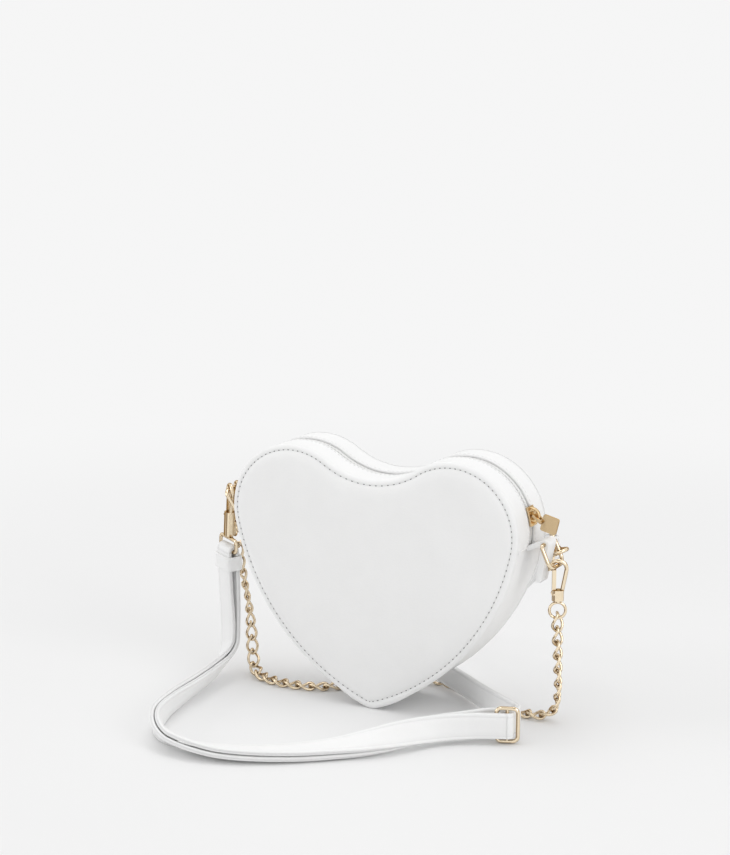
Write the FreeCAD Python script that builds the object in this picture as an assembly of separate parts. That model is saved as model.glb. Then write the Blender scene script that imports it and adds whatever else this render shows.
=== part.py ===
import FreeCAD, Part
import math
import os

# Heart shaped shoulder bag standing on its tip, all lengths in millimetres, angles in degrees.
# X runs to the right of the front panel, Y from front to back, Z up.
# The origin is under the tip of the heart, half way through the depth.

# Heart outline: two lobes, a hollow between them, two long flanks and a round tip
lobe_radius = 45.0
lobe_centre_x = 55.0
lobe_centre_z = 120.0
hollow_radius = 55.0
flank_radius = 150.0
tip_radius = 13.0

# Bag shell: two panels, a lower wall and two upper wall strips on either side of the zip
bag_depth = 46.0
panel_thickness = 2.0
panel_edge_round = 0.9
wall_inset = 1.5
wall_thickness = 1.6
board_thickness = 1.0
board_gap = 0.5
lining_thickness = 0.5
lining_gap = 0.3
seam_height = 112.0
cut_overrun = 20.0

# Zip: tapes, interlocking teeth, stops, slider and pull
zip_slot_width = 6.4
tape_thickness = 0.8
tape_width = 8.6
tape_edge_gap = 1.4
tape_margin = 0.5
tooth_pitch = 2.6
tooth_length = 1.1
tooth_height = 2.0
tooth_reach = 0.6
zip_end_rise = 19.74
stop_length = 2.4
stop_thickness = 0.8
stop_gap = 0.1
slider_rise = 5.0
slider_length = 12.0
slider_width = 8.4
slider_plate = 1.2
slider_lift = 0.3
slider_under_gap = 0.6
slider_post_width = 1.6
slider_post_length = 1.6
lug_length = 5.0
lug_width = 2.4
lug_height = 3.2
pull_pin_radius = 0.7
pull_pin_clearance = 0.1
pull_arm_length = 6.5
pull_plate_length = 10.3
pull_plate_width = 10.3
pull_width = 6.4
pull_thickness = 1.5
pull_arm_width = 1.6
pull_corner = 1.2
pull_angle = 38.0
pull_plate_turn = 23.5

# Side tabs with their D rings
tab_width = 12.0
tab_leather = 1.7
tab_flap_length = 24.0
tab_flap_lean = 5.2
tab_tuck = 8.0
ring_wire = 2.4
ring_bore_clearance = 0.08
right_bar_standoff = 8.89
right_bar_drop = 4.22
left_bar_standoff = 4.63
left_bar_drop = 7.5
ring_depth = 15.0
ring_half_width = 10.2
ring_bar_corner = 2.2
ring_arc_corner = 5.0
right_ring_angle = -66.0
left_ring_angle = 124.5

# Snap hooks: bow, sprung gate on a pin, and a swivelling eye
bow_inner_radius = 3.8
bow_wire = 2.4
bow_straight = 13.0
bow_foot = 2.2
nose_length = 1.0
base_half_width = 3.5
base_thickness = 6.0
base_round = 2.2
chain_hook_stem = 6.6
strap_hook_stem = 16.0
gate_width = 2.4
gate_thickness = 2.4
gate_side_gap = 0.15
gate_tip_gap = 0.2
gate_pivot_u = -2.4
gate_pivot_drop = 2.2
gate_foot_radius = 1.7
gate_pin_radius = 0.6
gate_pin_clearance = 0.05
hook_seat_gap = 0.3
swivel_shank_radius = 1.4
swivel_head_radius = 2.1
swivel_head_length = 1.0
swivel_neck_length = 1.2
swivel_clearance = 0.1
swivel_gap = 0.4
chain_eye_radius = 4.9
chain_eye_wire = 1.7
strap_eye_half_width = 10.4
strap_eye_height = 8.0
strap_eye_corner = 2.0
strap_eye_wire = 2.2
right_chain_hook_y = 2.0
left_strap_hook_y = -3.5
left_chain_hook_y = 5.2
rear_hook_depth = 8.5
right_chain_hook_turn = 28.0
left_strap_hook_turn = -42.0
left_chain_hook_turn = -42.0
left_hook_tilt = 3.0
right_link_turn = 73.0
left_eye_turn = 111.0
rear_hook_turn = 32.0

# Shoulder strap: a flat leather strip, doubled from the left hook to the slider buckle
strap_width = 16.0
strap_thickness = 2.8
strap_pair_gap = 0.8
strap_bar_gap = 0.3
keeper_thickness = 1.6
keeper_length = 9.6
keeper_clearance = 0.3
keeper_distance = 7.6
lap_length = 20.0
buckle_half_length = 6.4
buckle_half_height = 10.2
buckle_corner = 3.0
buckle_wire = 2.4
buckle_bar = 2.2
buckle_fold_radius = 6.0
tail_loop_turn = 250.0

# Chain of oval links, turned a quarter turn from one to the next
link_pitch = 4.6
link_wire = 1.7
link_half_width = 2.15
link_play = 0.3
link_end_steps = 5
wire_sides = 6
pitch_low_share = 0.9
pitch_high_share = 1.1

# Route of the doubled strap: its first run from the hook's loop, then places, then the edge's direction
pair_lead = (-0.369, 1.57, -24.068)
pair_route_after_lead = [
    (-114.5, -2.5, 37.0),
    (-113.0, -10.0, 19.0),
    (-110.0, -30.0, 10.0),
    (-106.5, -64.0, 9.2),
    (-102.5, -98.0, 9.0),
    (-92.0, -127.0, 9.0),
    (-69.0, -144.0, 7.8),
    (-38.0, -142.5, 5.2),
    (-6.0, -126.0, 4.2),
    (21.0, -105.0, 5.0),
    (39.0, -90.0, 7.9),
    (51.0, -73.0, 9.4),
    (63.0, -58.0, 9.8),
    (77.0, -47.5, 10.8),
    (90.0, -42.0, 11.8),
    (100.5, -38.0, 11.8),
]
pair_edge_shares = [
    (0.865, -0.50, 0.0),
    (0.865, -0.50, 0.0),
    (0.85, -0.45, 0.15),
    (0.70, -0.30, 0.55),
    (0.52, -0.05, 0.85),
    (0.45, 0.00, 0.88),
    (0.22, 0.04, 0.97),
    (-0.12, -0.10, 0.98),
    (-0.20, -0.82, 0.53),
    (0.28, -0.93, 0.20),
    (0.50, -0.86, 0.05),
    (0.58, -0.80, -0.15),
    (0.60, -0.62, -0.50),
    (0.46, -0.32, -0.83),
    (0.24, -0.18, -0.95),
    (0.08, -0.10, -0.99),
    (0.0, 0.0, -1.0),
    (0.0, 0.0, -1.0),
]

# Route of the single strap from the rear hook, round behind the bag, to the slider buckle
rear_lead_length = 30.5
back_route_after_lead = [
    (57.0, 88.0, 65.0),
    (29.0, 105.0, 46.0),
    (-2.0, 118.0, 27.0),
    (-35.0, 122.0, 12.5),
    (-66.0, 110.0, 8.6),
    (-84.0, 84.0, 8.6),
    (-76.0, 58.0, 10.8),
    (-48.0, 46.5, 13.6),
    (-16.0, 43.0, 15.2),
    (10.0, 38.0, 14.4),
    (29.0, 31.5, 10.8),
    (47.0, 20.5, 9.2),
    (73.0, -4.0, 11.8),
]

# Route of the chain from the right hook to the left hook
chain_route_between_hooks = [
    (114.8, 4.0, 43.0),
    (114.0, 8.0, 18.0),
    (110.5, 10.0, 4.2),
    (94.0, 7.0, 3.0),
    (74.0, 16.0, 3.0),
    (54.0, 27.0, 3.0),
    (33.0, 37.0, 3.0),
    (12.0, 42.0, 3.0),
    (-8.0, 39.0, 3.0),
    (-22.0, 23.0, 3.0),
    (-32.0, 3.0, 3.0),
    (-48.0, -9.5, 3.0),
    (-70.0, -12.0, 3.0),
    (-89.0, -7.5, 3.2),
    (-100.0, 2.5, 5.0),
    (-104.5, 8.5, 19.0),
    (-107.5, 10.5, 44.0),
    (-113.5, 10.0, 70.0),
]

run_share = 0.45
arc_step = 15.0

V = FreeCAD.Vector
up = V(0, 0, 1)
across = V(0, 1, 0)
half_depth = bag_depth / 2
inner_depth = half_depth - panel_thickness
wall_grow = -wall_inset
wall_inner_grow = wall_grow - wall_thickness
tape_inner_grow = wall_inner_grow - tape_thickness
ring_radius = ring_wire / 2


def save(name, shape):
    """Write one piece to its own file."""
    shape.exportStep("parts/" + name + ".step")


def polar(centre, radius, degrees):
    """A point of the X Z plane at an angle counted from X towards Z."""
    angle = math.radians(degrees)
    return V(centre.x + radius * math.cos(angle), 0, centre.z + radius * math.sin(angle))


def direction(degrees):
    """A unit vector of the X Z plane."""
    return V(math.cos(math.radians(degrees)), 0, math.sin(math.radians(degrees)))


def angle_to(start, end):
    """The angle of the line from one point of the X Z plane to another."""
    return math.degrees(math.atan2(end.z - start.z, end.x - start.x))


def arc_edge(centre, radius, first, last):
    """An arc of the X Z plane between two angles."""
    middle = (first + last) / 2
    points = [polar(centre, radius, a) for a in (first, middle, last)]
    return Part.Arc(*points).toShape()


# Centres of the outline's arcs, each tangent to the next
lobe_centre = V(lobe_centre_x, 0, lobe_centre_z)
tip_centre = V(0, 0, tip_radius)
hollow_rise = math.sqrt((lobe_radius + hollow_radius) ** 2 - lobe_centre_x ** 2)
hollow_centre = V(0, 0, lobe_centre_z + hollow_rise)
lobe_reach = flank_radius - lobe_radius
tip_reach = flank_radius - tip_radius
spine = tip_centre - lobe_centre
spine_foot = (lobe_reach ** 2 - tip_reach ** 2 + spine.Length ** 2) / (2 * spine.Length)
spine_side = math.sqrt(lobe_reach ** 2 - spine_foot ** 2)
spine_unit = V(spine).normalize()
flank_centre = lobe_centre + spine_unit * spine_foot + V(spine_unit.z, 0, -spine_unit.x) * spine_side
flank_first = angle_to(flank_centre, tip_centre)
flank_last = angle_to(flank_centre, lobe_centre)
lobe_last = angle_to(lobe_centre, hollow_centre)


def edge_x(z):
    """How far out the heart's right edge lies at a height, on the lobe or on the flank."""
    rise = z - lobe_centre.z
    if rise > lobe_radius * math.sin(math.radians(flank_last)):
        return lobe_centre.x + math.sqrt(lobe_radius ** 2 - rise ** 2)
    return flank_centre.x + math.sqrt(flank_radius ** 2 - (z - flank_centre.z) ** 2)


# The zip ends a little above the seam between the walls, and its slider stands beside that end
seam_angle = max(flank_last, angle_to(lobe_centre, V(edge_x(seam_height), 0, seam_height)))
zip_end_angle = seam_angle + zip_end_rise
slider_angle = zip_end_angle + slider_rise

# The rings' bars stand off from the heart's edge, somewhat under the middle of the lobes
right_bar_z = lobe_centre_z - right_bar_drop
left_bar_z = lobe_centre_z - left_bar_drop
right_bar_x = edge_x(right_bar_z) + right_bar_standoff
left_bar_x = edge_x(left_bar_z) + left_bar_standoff


def mirrored(shape):
    """The shape on the other side of the bag."""
    return shape.mirror(V(0, 0, 0), V(1, 0, 0))


def heart_face(grow):
    """The heart, with its edge moved outwards by grow."""
    right = [
        arc_edge(tip_centre, tip_radius + grow, -90, flank_first),
        arc_edge(flank_centre, flank_radius + grow, flank_first, flank_last),
        arc_edge(lobe_centre, lobe_radius + grow, flank_last, lobe_last),
        arc_edge(hollow_centre, hollow_radius - grow, lobe_last + 180, 270),
    ]
    edges = right + [mirrored(edge) for edge in right]
    return Part.Face(Part.Wire(Part.__sortEdges__(edges)))


def heart_slab(grow, first, last):
    """The heart as a slab between two depths."""
    face = heart_face(grow)
    face.translate(V(0, first, 0))
    return face.extrude(V(0, last - first, 0))


def heart_band(outer, inner, first, last):
    """A wall that follows the heart's outline between two depths."""
    core = heart_slab(inner, first - cut_overrun, last + cut_overrun)
    return heart_slab(outer, first, last).cut(core)


def half_space(above):
    """A block that takes all above or below the seam between the walls."""
    reach = lobe_centre_x + lobe_radius + cut_overrun
    top = lobe_centre_z + lobe_radius + cut_overrun
    first, last = (seam_height, top) if above else (-cut_overrun, seam_height)
    corner = V(-reach, -half_depth - cut_overrun, first)
    return Part.makeBox(2 * reach, bag_depth + 2 * cut_overrun, last - first, corner)


def panels():
    """Front and back panels with a rounded outer edge, and the boards that stiffen them."""
    for name, side in (("front", -1), ("back", 1)):
        first, last = sorted((side * half_depth, side * inner_depth))
        panel = heart_slab(0, first, last)
        rim = [e for e in panel.Edges if abs(e.BoundBox.YMin - side * half_depth) < panel_edge_round
               and e.BoundBox.YLength < panel_edge_round]
        save(name + "_panel", panel.makeFillet(panel_edge_round, rim))
        board_face = side * (inner_depth - board_thickness)
        first, last = sorted((side * inner_depth, board_face))
        save(name + "_stiffener", heart_slab(wall_inner_grow - board_gap, first, last))


def walls():
    """The lower wall round the tip, and the two upper strips beside the zip."""
    ring = heart_band(wall_grow, wall_inner_grow, -inner_depth, inner_depth)
    save("lower_gusset", ring.common(half_space(False)))
    for name, side in (("front", -1), ("rear", 1)):
        first, last = sorted((side * inner_depth, side * zip_slot_width / 2))
        strip = heart_band(wall_grow, wall_inner_grow, first, last)
        save("upper_gusset_" + name, strip.common(half_space(True)))


def lining():
    """The thin bag inside, open under the zip."""
    skin = wall_inner_grow - lining_gap - board_gap
    depth = inner_depth - board_thickness - lining_gap
    bag = heart_slab(skin, -depth, depth)
    room = heart_slab(skin - lining_thickness, lining_thickness - depth, depth - lining_thickness)
    mouth_width = 2 * (tape_edge_gap + tape_width + tape_margin)
    mouth = half_space(True).common(
        heart_slab(cut_overrun, -mouth_width / 2, mouth_width / 2))
    save("lining", bag.cut(room).cut(mouth))


def zip_rail(grow):
    """The arcs that the zip follows, right to left: centre, radius, first and last angle, and side."""
    left_lobe = V(-lobe_centre_x, 0, lobe_centre_z)
    return [
        (lobe_centre, lobe_radius + grow, zip_end_angle, lobe_last, 1),
        (hollow_centre, hollow_radius - grow, lobe_last + 180, 360 - lobe_last, -1),
        (left_lobe, lobe_radius + grow, 180 - lobe_last, 180 - zip_end_angle, 1),
    ]


def rail_length(grow):
    """How long the zip's row of teeth is."""
    return sum(math.radians(abs(last - first)) * radius for _, radius, first, last, _ in zip_rail(grow))


def rail_place(grow, distance):
    """A point of the zip's rail, and the outward angle there."""
    for centre, radius, first, last, side in zip_rail(grow):
        length = math.radians(abs(last - first)) * radius
        if distance <= length:
            turn = math.degrees(distance / radius) * (1 if last > first else -1)
            outward = first + turn
            return polar(centre, radius, outward), outward if side > 0 else outward + 180
        distance -= length
    return polar(centre, radius, last), last


def rail_block(grow, distance, length, first, last, height):
    """A small block set square on the zip's rail."""
    place, outward = rail_place(grow, distance)
    block = Part.makeBox(height, last - first, length, V(-height / 2, first, -length / 2))
    block.Placement = FreeCAD.Placement(place, FreeCAD.Rotation(across, -outward))
    return block


def zip_tracks():
    """Tapes under the strips' edges, and teeth that mesh along the middle."""
    middle = (wall_inner_grow + tape_inner_grow) / 2
    length = rail_length(middle)
    count = int(length / tooth_pitch)
    for name, side in (("front", -1), ("rear", 1)):
        first, last = sorted((side * tape_edge_gap, side * (tape_edge_gap + tape_width)))
        tape = heart_band(wall_inner_grow, tape_inner_grow, first, last)
        save("zip_tape_" + name, tape.common(half_space(True)))
        lead = tooth_pitch / 2 if side > 0 else 0
        first, last = sorted((side * tape_edge_gap, -side * tooth_reach))
        teeth = [rail_block(middle, lead + i * tooth_pitch + tooth_length, tooth_length, first, last,
                            tooth_height) for i in range(count - 1)]
        save("zip_teeth_" + name, Part.makeCompound(teeth))


def zip_stops():
    """Small clamped stops at both ends of the row of teeth."""
    grow = tape_inner_grow - stop_gap - stop_thickness / 2
    first = tape_edge_gap
    last = tape_edge_gap + stop_length
    far = rail_length(grow)
    stops = [rail_block(grow, far - tooth_length, stop_length, side * first if side > 0 else -last,
                        last if side > 0 else -first, stop_thickness) for side in (-1, 1)]
    save("zip_end_stops", Part.makeCompound(stops))


def lobe_sector(inner, outer, first, last, width):
    """A block bent about the right lobe's centre, between two angles."""
    ring = Part.makeCylinder(lobe_radius + outer, width, lobe_centre + V(0, -width / 2, 0), across)
    core = Part.makeCylinder(lobe_radius + inner, width, lobe_centre + V(0, -width / 2, 0), across)
    reach = lobe_radius + outer + cut_overrun
    corner = lobe_centre + V(0, -width / 2, 0)
    wedge = Part.Face(Part.makePolygon([
        corner, corner + direction(first) * reach, corner + direction(last) * reach, corner]))
    return ring.cut(core).common(wedge.extrude(V(0, width, 0)))


def pull_axis():
    """The middle of the hole in the slider's lug."""
    return polar(lobe_centre, lobe_radius + wall_grow + slider_lift + slider_plate + lug_height / 2,
                 slider_angle)


def zip_slider():
    """The slider: a plate above and one below the teeth, a post between them, and the pull's lug."""
    half = math.degrees(slider_length / 2 / lobe_radius)
    first, last = slider_angle - half, slider_angle + half
    top = wall_grow + slider_lift
    under = tape_inner_grow - (tooth_height - tape_thickness) / 2 - slider_under_gap
    post = math.degrees(slider_post_length / lobe_radius)
    lug = math.degrees(lug_length / 2 / lobe_radius)
    body = lobe_sector(top, top + slider_plate, first, last, slider_width)
    body = body.fuse(lobe_sector(under - slider_plate, under, first, last, slider_width))
    body = body.fuse(lobe_sector(under - slider_plate, top + slider_plate, first, first + post,
                                 slider_post_width))
    body = body.fuse(lobe_sector(top, top + slider_plate + lug_height, slider_angle - lug,
                                 slider_angle + lug, lug_width))
    hole = Part.makeCylinder(pull_pin_radius + pull_pin_clearance, slider_width,
                             pull_axis() - across * (slider_width / 2), across)
    save("zip_slider", body.cut(hole).removeSplitter())


def zip_pull():
    """The pull: a fork whose pin hangs in the slider's lug, and a plain plate that stands on edge in it."""
    fork = Part.makeBox(pull_pin_radius + pull_arm_length, pull_width, pull_thickness,
                        V(-pull_pin_radius, -pull_width / 2, -pull_thickness / 2))
    window = Part.makeBox(pull_arm_length - pull_thickness + 2 * pull_pin_radius,
                          pull_width - 2 * pull_arm_width, 2 * pull_thickness,
                          V(-2 * pull_pin_radius, pull_arm_width - pull_width / 2, -pull_thickness))
    pin = Part.makeCylinder(pull_pin_radius, pull_width, V(0, -pull_width / 2, 0), across)
    plate = Part.makeBox(pull_plate_length, pull_thickness, pull_plate_width,
                         V(0, -pull_thickness / 2, -pull_plate_width / 2))
    corners = [e for e in plate.Edges if e.BoundBox.YLength > pull_thickness / 2]
    plate = plate.makeFillet(pull_corner, corners)
    end = V(pull_arm_length - pull_thickness / 2, 0, 0)
    plate.Placement = FreeCAD.Placement(end, FreeCAD.Rotation(across, -pull_plate_turn))
    pull = fork.cut(window).fuse([pin, plate]).removeSplitter()
    turn = 90 - slider_angle - pull_angle
    pull.Placement = FreeCAD.Placement(pull_axis(), FreeCAD.Rotation(across, turn))
    save("zip_pull", pull)


def closed_tube(points, corners, radius):
    """A round wire along a closed flat outline with rounded corners."""
    edges = []
    count = len(points)
    stops = []
    for i, point in enumerate(points):
        back = (points[i - 1] - point).normalize()
        ahead = (points[(i + 1) % count] - point).normalize()
        turn = math.pi - back.getAngle(ahead)
        length = corners[i] * math.tan(turn / 2)
        first, last = point + back * length, point + ahead * length
        inward = (back + ahead).normalize()
        middle = point + inward * (corners[i] / math.cos(turn / 2) - corners[i])
        stops.append((first, middle, last))
    for i, (first, middle, last) in enumerate(stops):
        edges.append(Part.Arc(first, middle, last).toShape())
        after = stops[(i + 1) % count][0]
        if (after - last).Length > radius * run_share:
            edges.append(Part.LineSegment(last, after).toShape())
    start = stops[0][2]
    along = (stops[1 % count][0] - start).normalize()
    ring = Part.Wire(Part.makeCircle(radius, start, along))
    path = Part.Wire(edges[1:] + edges[:1])
    tube = path.makePipeShell([ring], True, False)
    return tube if tube.ShapeType == "Solid" else Part.Solid(tube)


def ring_place(side):
    """The middle of a D ring's bar, and the direction in which the ring hangs."""
    if side > 0:
        return V(right_bar_x, 0, right_bar_z), direction(right_ring_angle)
    return V(-left_bar_x, 0, left_bar_z), direction(left_ring_angle)


def ring_point(side, y, depth):
    """A point of the D ring's plane."""
    bar, hang = ring_place(side)
    return bar + across * y + hang * depth


def tabs_and_rings():
    """On each side a leather tab, sewn in the seam, whose hanging flap is folded round a D ring."""
    roll = ring_radius + ring_bore_clearance + tab_leather
    for name, side in (("right", 1), ("left", -1)):
        place, _ = ring_place(side)
        bar = V(abs(place.x), -tab_width / 2, place.z)
        tucked = edge_x(seam_height) - tab_tuck
        foot = V(bar.x + roll - tab_flap_lean, bar.y, bar.z - tab_flap_length)
        arm = Part.Face(Part.makePolygon([
            V(tucked, bar.y, seam_height - tab_leather),
            bar,
            bar + up * roll,
            V(tucked, bar.y, seam_height + tab_leather),
            V(tucked, bar.y, seam_height - tab_leather)]))
        flap = Part.Face(Part.makePolygon([
            bar - V(roll, 0, 0),
            bar + V(roll, 0, 0),
            foot,
            foot - V(2 * tab_leather, 0, 0),
            bar - V(roll, 0, 0)]))
        tab = Part.makeCylinder(roll, tab_width, bar, across)
        tab = tab.fuse([face.extrude(V(0, tab_width, 0)) for face in (arm, flap)])
        tab = tab.cut(heart_slab(wall_grow, -half_depth, half_depth))
        tab = tab.cut(Part.makeCylinder(ring_radius + ring_bore_clearance, tab_width, bar, across))
        tab = max(tab.Solids, key=lambda solid: solid.Volume).removeSplitter()
        save(name + "_tab", tab if side > 0 else mirrored(tab))
        corners = [(-ring_half_width, 0), (-ring_half_width, ring_depth),
                   (ring_half_width, ring_depth), (ring_half_width, 0)]
        points = [ring_point(side, y, depth) for y, depth in corners]
        rounds = [ring_bar_corner, ring_arc_corner, ring_arc_corner, ring_bar_corner]
        save(name + "_d_ring", closed_tube(points, rounds, ring_radius))


def axes_placement(origin, u, v, w):
    """A placement that maps local X, Y, Z to three square directions."""
    matrix = FreeCAD.Matrix(u.x, v.x, w.x, origin.x, u.y, v.y, w.y, origin.y,
                            u.z, v.z, w.z, origin.z, 0, 0, 0, 1)
    return FreeCAD.Placement(matrix)


def bow_tube(stem):
    """The open bow of round wire: a leaning arm, a round top and a short nose."""
    centre = V(0, 0, stem + bow_straight)
    radius = bow_inner_radius + bow_wire / 2
    foot = V(bow_foot, 0, stem - bow_wire)
    touch = angle_to(centre, foot) + math.degrees(math.acos(radius / (foot - centre).Length))
    start = polar(centre, radius, touch)
    end = polar(centre, radius, 180)
    path = Part.Wire([
        Part.LineSegment(foot, start).toShape(),
        arc_edge(centre, radius, touch, 180),
        Part.LineSegment(end, end - up * nose_length).toShape(),
    ])
    ring = Part.Wire(Part.makeCircle(bow_wire / 2, foot, start - foot))
    tube = path.makePipeShell([ring], True, False)
    return tube if tube.ShapeType == "Solid" else Part.Solid(tube)


def hook_solids(stem):
    """A snap hook in its own frame: body, gate and pin, with the swivel's face at zero."""
    block = Part.makeBox(2 * base_half_width, base_thickness, stem,
                         V(-base_half_width, -base_thickness / 2, 0))
    tall = [e for e in block.Edges if e.BoundBox.ZLength > stem / 2]
    block = block.makeFillet(base_round, tall)
    pivot = V(gate_pivot_u, 0, stem - gate_pivot_drop)
    slot_depth = gate_pivot_drop + gate_foot_radius + gate_side_gap
    slot_width = gate_thickness + 2 * gate_side_gap
    slot_end = gate_pivot_u + gate_foot_radius + gate_side_gap
    slot = Part.makeBox(base_half_width + slot_end, slot_width, slot_depth,
                        V(-base_half_width, -slot_width / 2, stem - slot_depth))
    body = bow_tube(stem).fuse(block).cut(slot)
    body = body.cut(Part.makeCylinder(gate_pin_radius, base_thickness,
                                      pivot - across * (base_thickness / 2), across))
    neck = swivel_shank_radius + swivel_clearance
    body = body.cut(Part.makeCylinder(neck, swivel_neck_length, V(0, 0, 0), up))
    pocket = swivel_head_length + 2 * swivel_clearance
    body = body.cut(Part.makeCylinder(swivel_head_radius + swivel_clearance, pocket,
                                      up * (swivel_neck_length - swivel_clearance), up))
    tip = stem + bow_straight - nose_length / 2
    outside = -bow_inner_radius + gate_tip_gap
    lever = Part.makeBox(gate_width, gate_thickness, tip - pivot.z,
                         V(outside, -gate_thickness / 2, pivot.z))
    gate = lever.fuse(Part.makeCylinder(gate_foot_radius, gate_thickness,
                                        pivot - across * (gate_thickness / 2), across))
    gate = gate.cut(Part.makeCylinder(gate_pin_radius + gate_pin_clearance, gate_thickness,
                                      pivot - across * (gate_thickness / 2), across))
    pin = Part.makeCylinder(gate_pin_radius, base_thickness, pivot - across * (base_thickness / 2),
                            across)
    return body.removeSplitter(), gate.removeSplitter(), pin


def swivel_shank(reach):
    """The swivel's headed shank, from the eye's wire up into the hook."""
    shank = Part.makeCylinder(swivel_shank_radius, reach + swivel_neck_length, up * -reach, up)
    head = Part.makeCylinder(swivel_head_radius, swivel_head_length, up * swivel_neck_length, up)
    return shank.fuse(head)


def chain_eye():
    """A round eye under its shank, for the chain's end link."""
    drop = swivel_gap + chain_eye_wire / 2 + chain_eye_radius
    ring = Part.makeTorus(chain_eye_radius, chain_eye_wire / 2, up * -drop, across)
    return ring.fuse(swivel_shank(swivel_gap + chain_eye_wire / 2)).removeSplitter(), drop


def strap_eye():
    """A flat loop under its shank, whose far bar carries the strap."""
    top = swivel_gap + strap_eye_wire / 2
    drop = top + strap_eye_height
    points = [V(-strap_eye_half_width, 0, -top), V(strap_eye_half_width, 0, -top),
              V(strap_eye_half_width, 0, -drop), V(-strap_eye_half_width, 0, -drop)]
    loop = closed_tube(points, [strap_eye_corner] * len(points), strap_eye_wire / 2)
    return loop.fuse(swivel_shank(top)).removeSplitter(), drop


def hook_origin(wire, w, stem):
    """Where the swivel's face is, for a hook whose bow hangs on a wire at a point."""
    reach = stem + bow_straight + bow_inner_radius - hook_seat_gap - ring_radius
    return wire - w * reach


def place_hook(name, wire, w, u, stem, eye, eye_u):
    """Write a hook's four pieces; return the middle of its eye's ring or far bar, and the bar's line."""
    w = V(w).normalize()
    u = (u - w * u.dot(w)).normalize()
    origin = hook_origin(wire, w, stem)
    placement = axes_placement(origin, u, w.cross(u), w)
    for piece, solid in zip(("body", "gate", "pin"), hook_solids(stem)):
        solid.Placement = placement
        save(name + "_" + piece, solid)
    solid, drop = eye
    eye_u = (eye_u - w * eye_u.dot(w)).normalize()
    solid.Placement = axes_placement(origin, eye_u, w.cross(eye_u), w)
    save(name + "_eye", solid)
    return origin - w * drop, eye_u


def turned(degrees):
    """A level direction, turned about the upright from X towards Y."""
    return V(math.cos(math.radians(degrees)), math.sin(math.radians(degrees)), 0)


def smooth_route(points):
    """Straight runs joined by tangent arcs, as stations: place, heading and share of the points."""
    points = [V(*p) for p in points]
    runs = [b - a for a, b in zip(points, points[1:])]
    stations = [(points[0], V(runs[0]).normalize(), 0)]
    radii = []
    for i in range(1, len(points) - 1):
        first, second = V(runs[i - 1]).normalize(), V(runs[i]).normalize()
        turn = first.getAngle(second)
        length = run_share * min(runs[i - 1].Length, runs[i].Length)
        radius = length / math.tan(turn / 2)
        radii.append(round(radius, 1))
        side = (second - first * math.cos(turn)).normalize()
        start = points[i] - first * length
        before = i - length / runs[i - 1].Length
        after = i + length / runs[i].Length
        steps = max(2, math.ceil(math.degrees(turn) / arc_step))
        for k in range(steps + 1):
            angle = turn * k / steps
            place = start + first * (radius * math.sin(angle)) + side * (radius * (1 - math.cos(angle)))
            heading = first * math.cos(angle) + side * math.sin(angle)
            stations.append((place, heading, before + (after - before) * k / steps))
    stations.append((points[-1], V(runs[-1]).normalize(), len(points) - 1))
    print("arc radii", radii)
    return stations


def between(table, share):
    """A value of a table at a place between its entries."""
    i = min(int(share), len(table) - 2)
    part = share - i
    return [a + (b - a) * part for a, b in zip(table[i], table[i + 1])]


def ribbon(stations, edges, shifts):
    """A flat strip along the stations: edges point to its upper side, shifts move it along its normal."""
    sections = []
    length = 0
    for i, (place, heading, share) in enumerate(stations):
        edge = V(*between(edges, share))
        edge = (edge - heading * edge.dot(heading)).normalize()
        normal = heading.cross(edge)
        middle = place + normal * between([[s] for s in shifts], share)[0]
        wide, thick = edge * (strap_width / 2), normal * (strap_thickness / 2)
        corners = [middle + wide + thick, middle - wide + thick, middle - wide - thick,
                   middle + wide - thick]
        sections.append(Part.makePolygon(corners + corners[:1]))
        if i:
            length += (middle - last).Length
        last = middle
    solid = Part.makeLoft(sections, True, True)
    plain = length * strap_width * strap_thickness
    print("strip length", round(length, 1), "volume against plain", round(solid.Volume / plain, 4))
    return solid


def fold(centre, axis, start, sweep, inner):
    """The strip bent round a line: an arc of its thickness, as wide as the strip."""
    low = centre + start * inner - axis * (strap_width / 2)
    high = centre + start * (inner + strap_thickness) - axis * (strap_width / 2)
    wide = axis * strap_width
    face = Part.Face(Part.makePolygon([low, high, high + wide, low + wide, low]))
    return face.revolve(centre, axis, sweep)


def sleeve(place, heading, edge, half_stack):
    """A leather keeper round the strip, set square on it."""
    edge = (edge - heading * edge.dot(heading)).normalize()
    normal = heading.cross(edge)
    wide = strap_width / 2 + keeper_clearance
    thick = half_stack + keeper_clearance
    walls = []
    for extra in (keeper_thickness, 0):
        a, b = wide + extra, thick + extra
        walls.append(Part.makeBox(2 * a, 2 * b, keeper_length, V(-a, -b, -keeper_length / 2)))
    tall = [e for e in walls[0].Edges if e.BoundBox.ZLength > keeper_length / 2]
    band = walls[0].makeFillet(keeper_thickness, tall).cut(walls[1])
    band.Placement = axes_placement(place, edge, normal, heading * -1)
    return band


def rounded_frame(origin, heading, edge):
    """The slider buckle: a round wire frame with a bar across its middle."""
    corners = [(-1, -1), (1, -1), (1, 1), (-1, 1)]
    points = [origin + heading * (a * buckle_half_length) + edge * (b * buckle_half_height)
              for a, b in corners]
    frame = closed_tube(points, [buckle_corner] * len(points), buckle_wire / 2)
    bar = Part.makeCylinder(buckle_bar / 2, 2 * buckle_half_height, origin - edge * buckle_half_height,
                            edge)
    return frame.fuse(bar).removeSplitter()


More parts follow.
